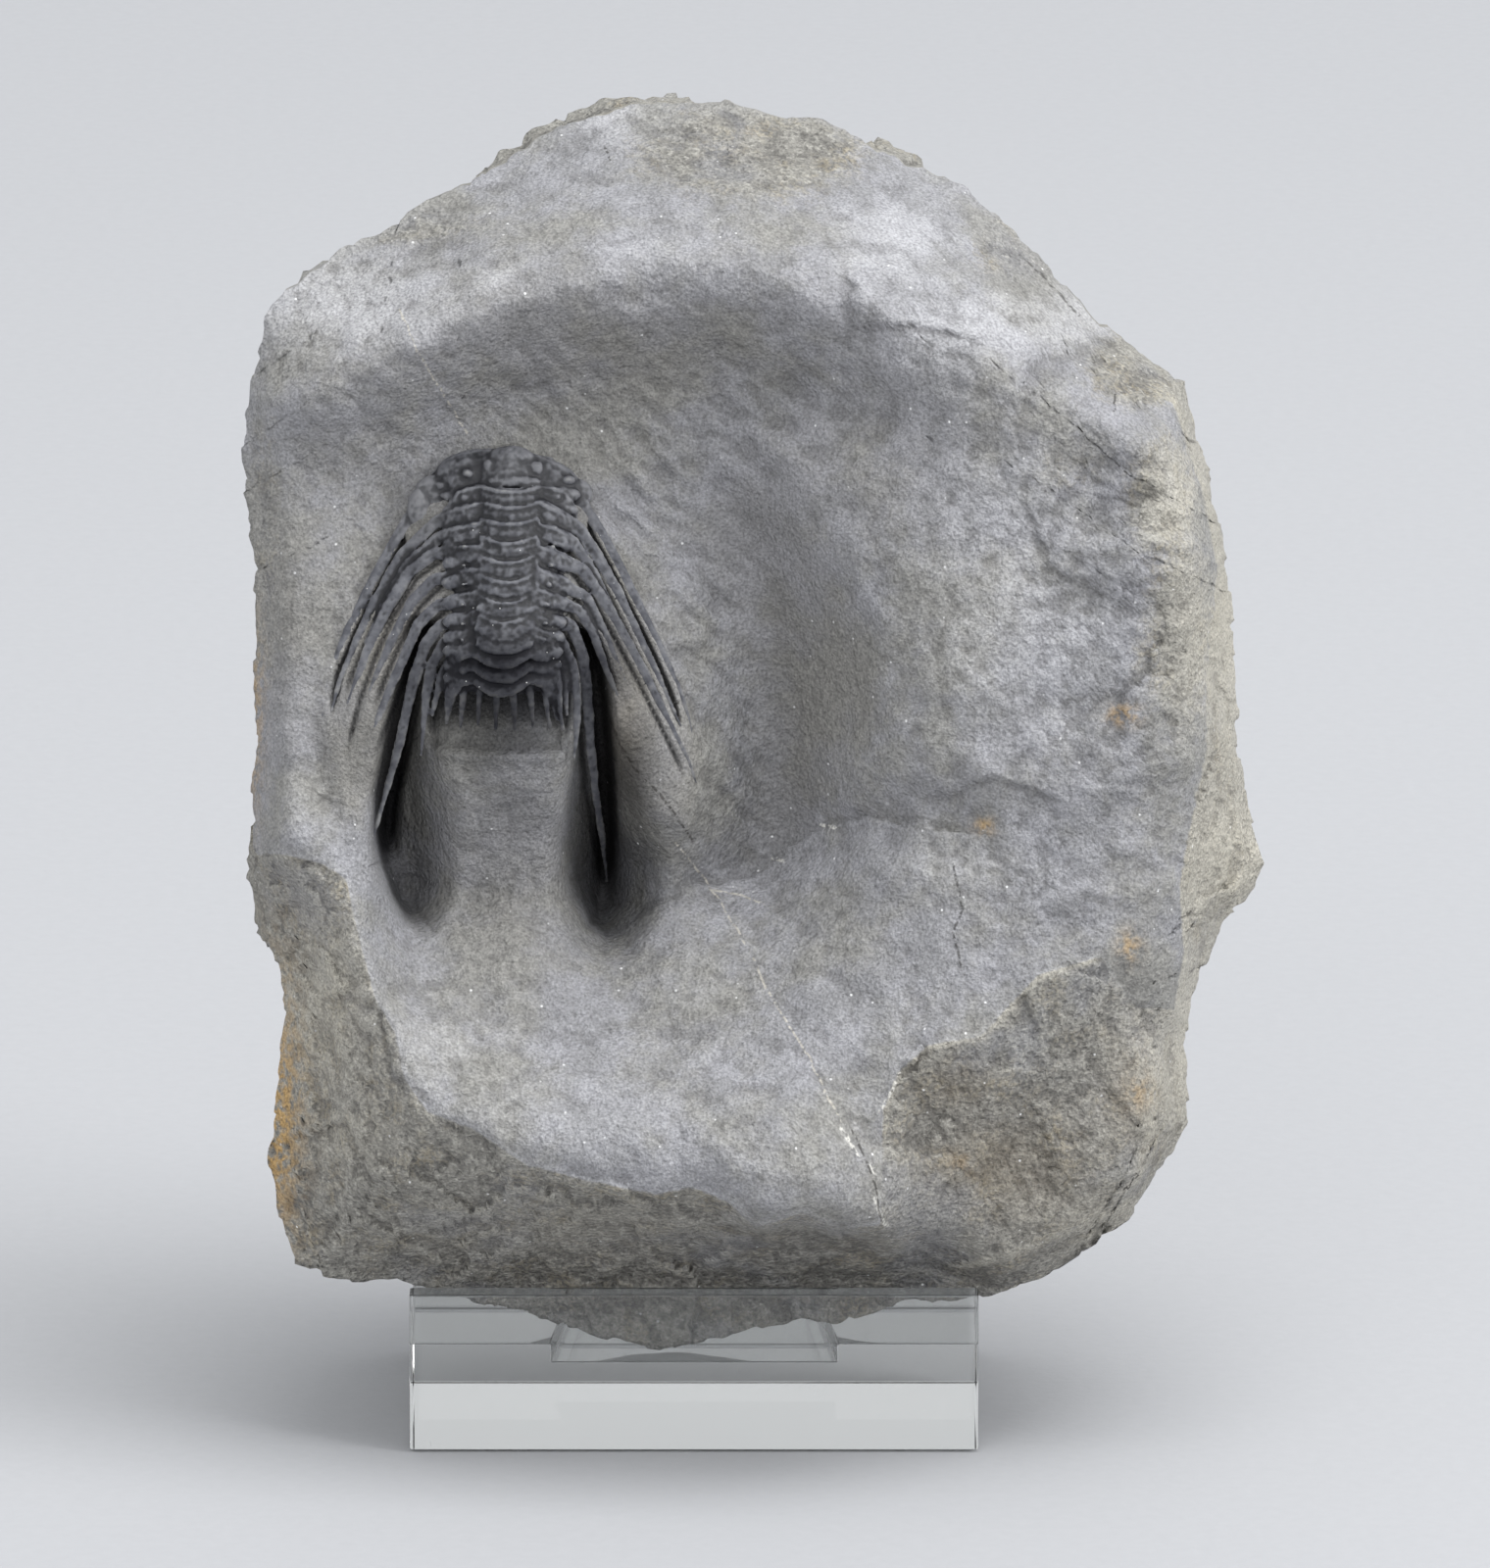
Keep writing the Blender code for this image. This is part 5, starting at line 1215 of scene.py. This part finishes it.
def limestone():
    paint = Paint("limestone")
    wide, middle = (paint.noise(size, detail=7.0, rough=0.62) for size in (14.0, 5.0))
    small, grain = paint.noise(1.1), paint.noise(0.30)
    crust = paint.noise(0.55, detail=2.0, rough=0.4)
    bulging = paint.fade(paint.stored("bulge"), -0.10, 0.14)
    broken = paint.fade(paint.ramp(small, 0.5, paint.stored("broken")), 0.55, 0.95)
    cool = paint.mix(paint.fade(middle, 0.35, 0.65), (130, 130, 132), (144, 144, 148))
    warm = paint.mix(paint.fade(small, 0.35, 0.65), (124, 123, 120), (140, 139, 135))
    prepared = paint.mix(paint.fade(wide, 0.42, 0.62), cool, warm)
    # Painted shade in the hollows
    prepared = paint.tint(prepared, paint.stored("hollow_shade"), 0.5, (114, 112, 109))
    # Powder, lighter on bulges, with a painted highlight along the lips of the broken stone
    dust_and_highlight = paint.ramp(paint.stored("powder"), 0.50, paint.times(middle, 0.30))
    for value, factor in ((small, 0.22), (bulging, 0.15), (paint.stored("lip_dust_and_highlight"), 0.2)):
        dust_and_highlight = paint.ramp(value, factor, dust_and_highlight)
    prepared = paint.tint(prepared, paint.fade(dust_and_highlight, 0.37, 0.93), 0.7, (177, 177, 180))
    rough = paint.mix(paint.fade(crust, 0.36, 0.64), (110, 108, 104), (148, 146, 140))
    tan = paint.times(paint.fade(middle, 0.45, 0.70), paint.fade(crust, 0.40, 0.60))
    drawn = paint.add("Mapping", (("Vector", paint.place), ("Scale", (1.0, 1.0, 3.0)))).outputs[0]
    flecks = paint.fade(paint.noise(0.9, detail=2.0, place=drawn), 0.60, 0.70)
    for share, strength, shade in (
            (paint.fade(small, 0.44, 0.60), 0.40, (82, 80, 77)), (tan, 0.5, (142, 130, 104)),
            (paint.fade(wide, 0.50, 0.62), 0.5, (128, 129, 134)), (flecks, 0.45, (180, 178, 171)),
            # Lighter bulges, and paler rock with painted light and a painted highlight on the sharp
            # edges
            (bulging, 0.25, (172, 170, 162)), (paint.stored("pale_and_lit"), 0.65, (188, 183, 170))):
        rough = paint.tint(rough, share, strength, shade)
    tone = paint.mix(broken, prepared, rough)
    rust = paint.times(paint.stored("ochre"), paint.fade(small, 0.35, 0.6))
    for share, strength, shade in (
            # Painted shade in the hollows between bulges
            (paint.fade(bulging, 0.35, 0.0), 0.25, (64, 62, 60)),
            # Lighter rock in the fan, and painted shade round the fossil's body
            (paint.stored("fan"), 0.4, (138, 135, 128)), (paint.stored("body"), 0.75, (82, 81, 80)),
            (paint.stored("brown"), 0.5, (102, 92, 76)),
            # Painted shade in the grooves beside the spines
            (paint.fade(paint.stored("groove_shade"), 0.2, 1.0), 0.7, (34, 34, 38)),
            (paint.stored("shade"), 0.85, (34, 34, 37)), (rust, 1.0, (176, 146, 100)),
            (paint.specks(2.0, 0.09, 0.4), 0.7, (226, 226, 226))):
        tone = paint.tint(tone, share, strength, shade)
    spot = front_place(paint)
    ahead = paint.dot(paint.place, (0.0, -math.cos(LEAN) / MM, math.sin(LEAN) / MM))
    front = paint.math("GREATER_THAN", ahead, FRONT_FROM)
    for routes, reach, shade, strength in MARKS:
        mark = paint.fade(paint.line(spot, routes), reach, reach * 0.4)
        mark = paint.times(mark, paint.times(front, strength))
        tone = paint.mix(paint.times(mark, paint.fade(crust, 0.40, 0.55)), tone, shade)
    sparkle = paint.ramp(grain, GRAIN_CONTRAST, 1.0 - GRAIN_CONTRAST / 2)
    paint.give("Base Color", paint.scaled(tone, sparkle))
    paint.give("Roughness", paint.ramp(grain, 0.2, 0.72))
    # Less gloss where shade is painted
    paint.give("Specular IOR Level", paint.ramp(paint.stored("shade"), -0.30, 0.35))
    fine = paint.bump(grain, 0.5, 0.30)
    chipped = paint.bump(paint.chips(2.2), paint.ramp(broken, 0.4, 0.15), 0.45, fine)
    middling = paint.bump(small, 0.45, 0.9, chipped)
    paint.give("Normal", paint.bump(crust, paint.ramp(broken, 0.35, 0.35), 0.5, middling))
    return paint.material


def shell():
    paint = Paint("fossil_shell")
    grain, small = paint.noise(0.30), paint.noise(1.3)
    bulging, worn = paint.stored("bulge"), paint.stored("worn")
    tone = paint.mix(paint.fade(small, 0.35, 0.65), (75, 76, 82), (101, 102, 107))
    rubbed = paint.fade(paint.ramp(small, 0.06, bulging), 0.08, 0.14)
    # Painted shade in the shell's broad hollows and narrow creases, less where it is worn
    sunk_shade = paint.fade(paint.stored("hollow"), 0.16, -0.10)
    for share, strength, shade in (
            (rubbed, 0.4, (150, 149, 146)), (worn, 0.7, (122, 122, 124)),
            (sunk_shade, paint.ramp(worn, -0.55, 0.8), (34, 34, 40)),
            (paint.fade(bulging, 0.04, -0.02), paint.ramp(worn, -0.3, 0.9), (16, 16, 20)),
            (paint.stored("shade"), 0.85, (30, 30, 34)),
            (paint.specks(0.7, 0.12, 0.10), 1.0, (190, 190, 188))):
        tone = paint.tint(tone, share, strength, shade)
    paint.give("Base Color", tone)
    paint.give("Roughness", paint.ramp(grain, 0.3, 0.38))
    # Less gloss where shade is painted
    paint.give("Specular IOR Level", paint.ramp(paint.stored("shade"), -0.32, 0.36))
    paint.give("Normal", paint.bump(grain, 0.4, 0.15))
    return paint.material


def acrylic():
    paint = Paint("clear_acrylic")
    streak = paint.add("Mapping", (("Vector", paint.place), ("Scale", (1.0, 6.0, 0.25)))).outputs[0]
    scratch = paint.noise(0.5, place=streak)
    paint.give("Roughness", paint.times(paint.fade(scratch, 0.70, 0.80), 0.12))
    paint.give("Normal", paint.bump(paint.fade(scratch, 0.68, 0.74), 0.35, 0.08))
    for name, value in (("Base Color", CLEAR_TINT), ("Transmission Weight", 1.0), ("IOR", CLEAR_INDEX)):
        paint.give(name, value)
    depth = paint.add("VolumeAbsorption", (("Color", CLEAR_DEPTH), ("Density", CLEAR_DENSITY)))
    paint.put(paint.tree.nodes["Material Output"].inputs["Volume"], depth.outputs[0])
    return paint.material


def paper():
    paint = Paint("studio_paper")
    paint.give("Base Color", paint.mix(paint.noise(1.6), (165, 166, 169), (171, 172, 175)))
    paint.give("Roughness", 0.95)
    paint.give("Normal", paint.bump(paint.noise(1.0), 0.25, 0.15))
    return paint.material


def add_floor():
    shape = bmesh.new()
    bmesh.ops.create_grid(shape, x_segments=1, y_segments=1, size=FLOOR_HALF)
    floor = work_item("floor", shape)
    floor.location.z = FLOOR_LEVEL
    floor.data.materials.append(paper())


def add_light(name, place, target, size, power):
    lamp = bpy.data.lights.new(name, "AREA")
    lamp.shape = "RECTANGLE"
    lamp.size = lamp.size_y = size
    lamp.energy = power
    item = bpy.data.objects.new(name, lamp)
    bpy.context.scene.collection.objects.link(item)
    item.location = place
    item.rotation_euler = (Vector(target) - Vector(place)).to_track_quat("-Z", "Y").to_euler()


def add_studio():
    scene = bpy.context.scene
    world = bpy.data.worlds.new("studio")
    world.use_nodes = True
    world.node_tree.nodes["Background"].inputs["Color"].default_value = SKY
    world.node_tree.nodes["Background"].inputs["Strength"].default_value = SKY_STRENGTH
    scene.world = world
    scene.view_settings.view_transform = "Standard"
    for light in LIGHTS:
        add_light(*light)


def add_camera():
    lens = bpy.data.cameras.new("camera")
    lens.sensor_width = 36.0
    lens.lens = lens.sensor_width * CAMERA_DISTANCE / (PHOTO_SIZE[1] / PIXELS_PER_MM * MM)
    item = bpy.data.objects.new("camera", lens)
    bpy.context.scene.collection.objects.link(item)
    across = (PHOTO_SIZE[0] / 2 - PHOTO_FOOT[0]) / PIXELS_PER_MM
    up = (PHOTO_FOOT[1] - PHOTO_SIZE[1] / 2) / PIXELS_PER_MM
    target = leaning() @ Vector((across, up, CAMERA_PLANE))
    forward = leaning().to_3x3() @ Vector((0.0, 0.0, 1.0 / MM))
    item.location = target + forward * CAMERA_DISTANCE
    item.rotation_euler = (-forward).to_track_quat("-Z", "Y").to_euler()
    bpy.context.scene.camera = item


def main():
    bed = Bed()
    add_stone(bed)
    add_fossil(bed)
    add_stand()
    add_floor()
    add_studio()
    add_camera()


main()
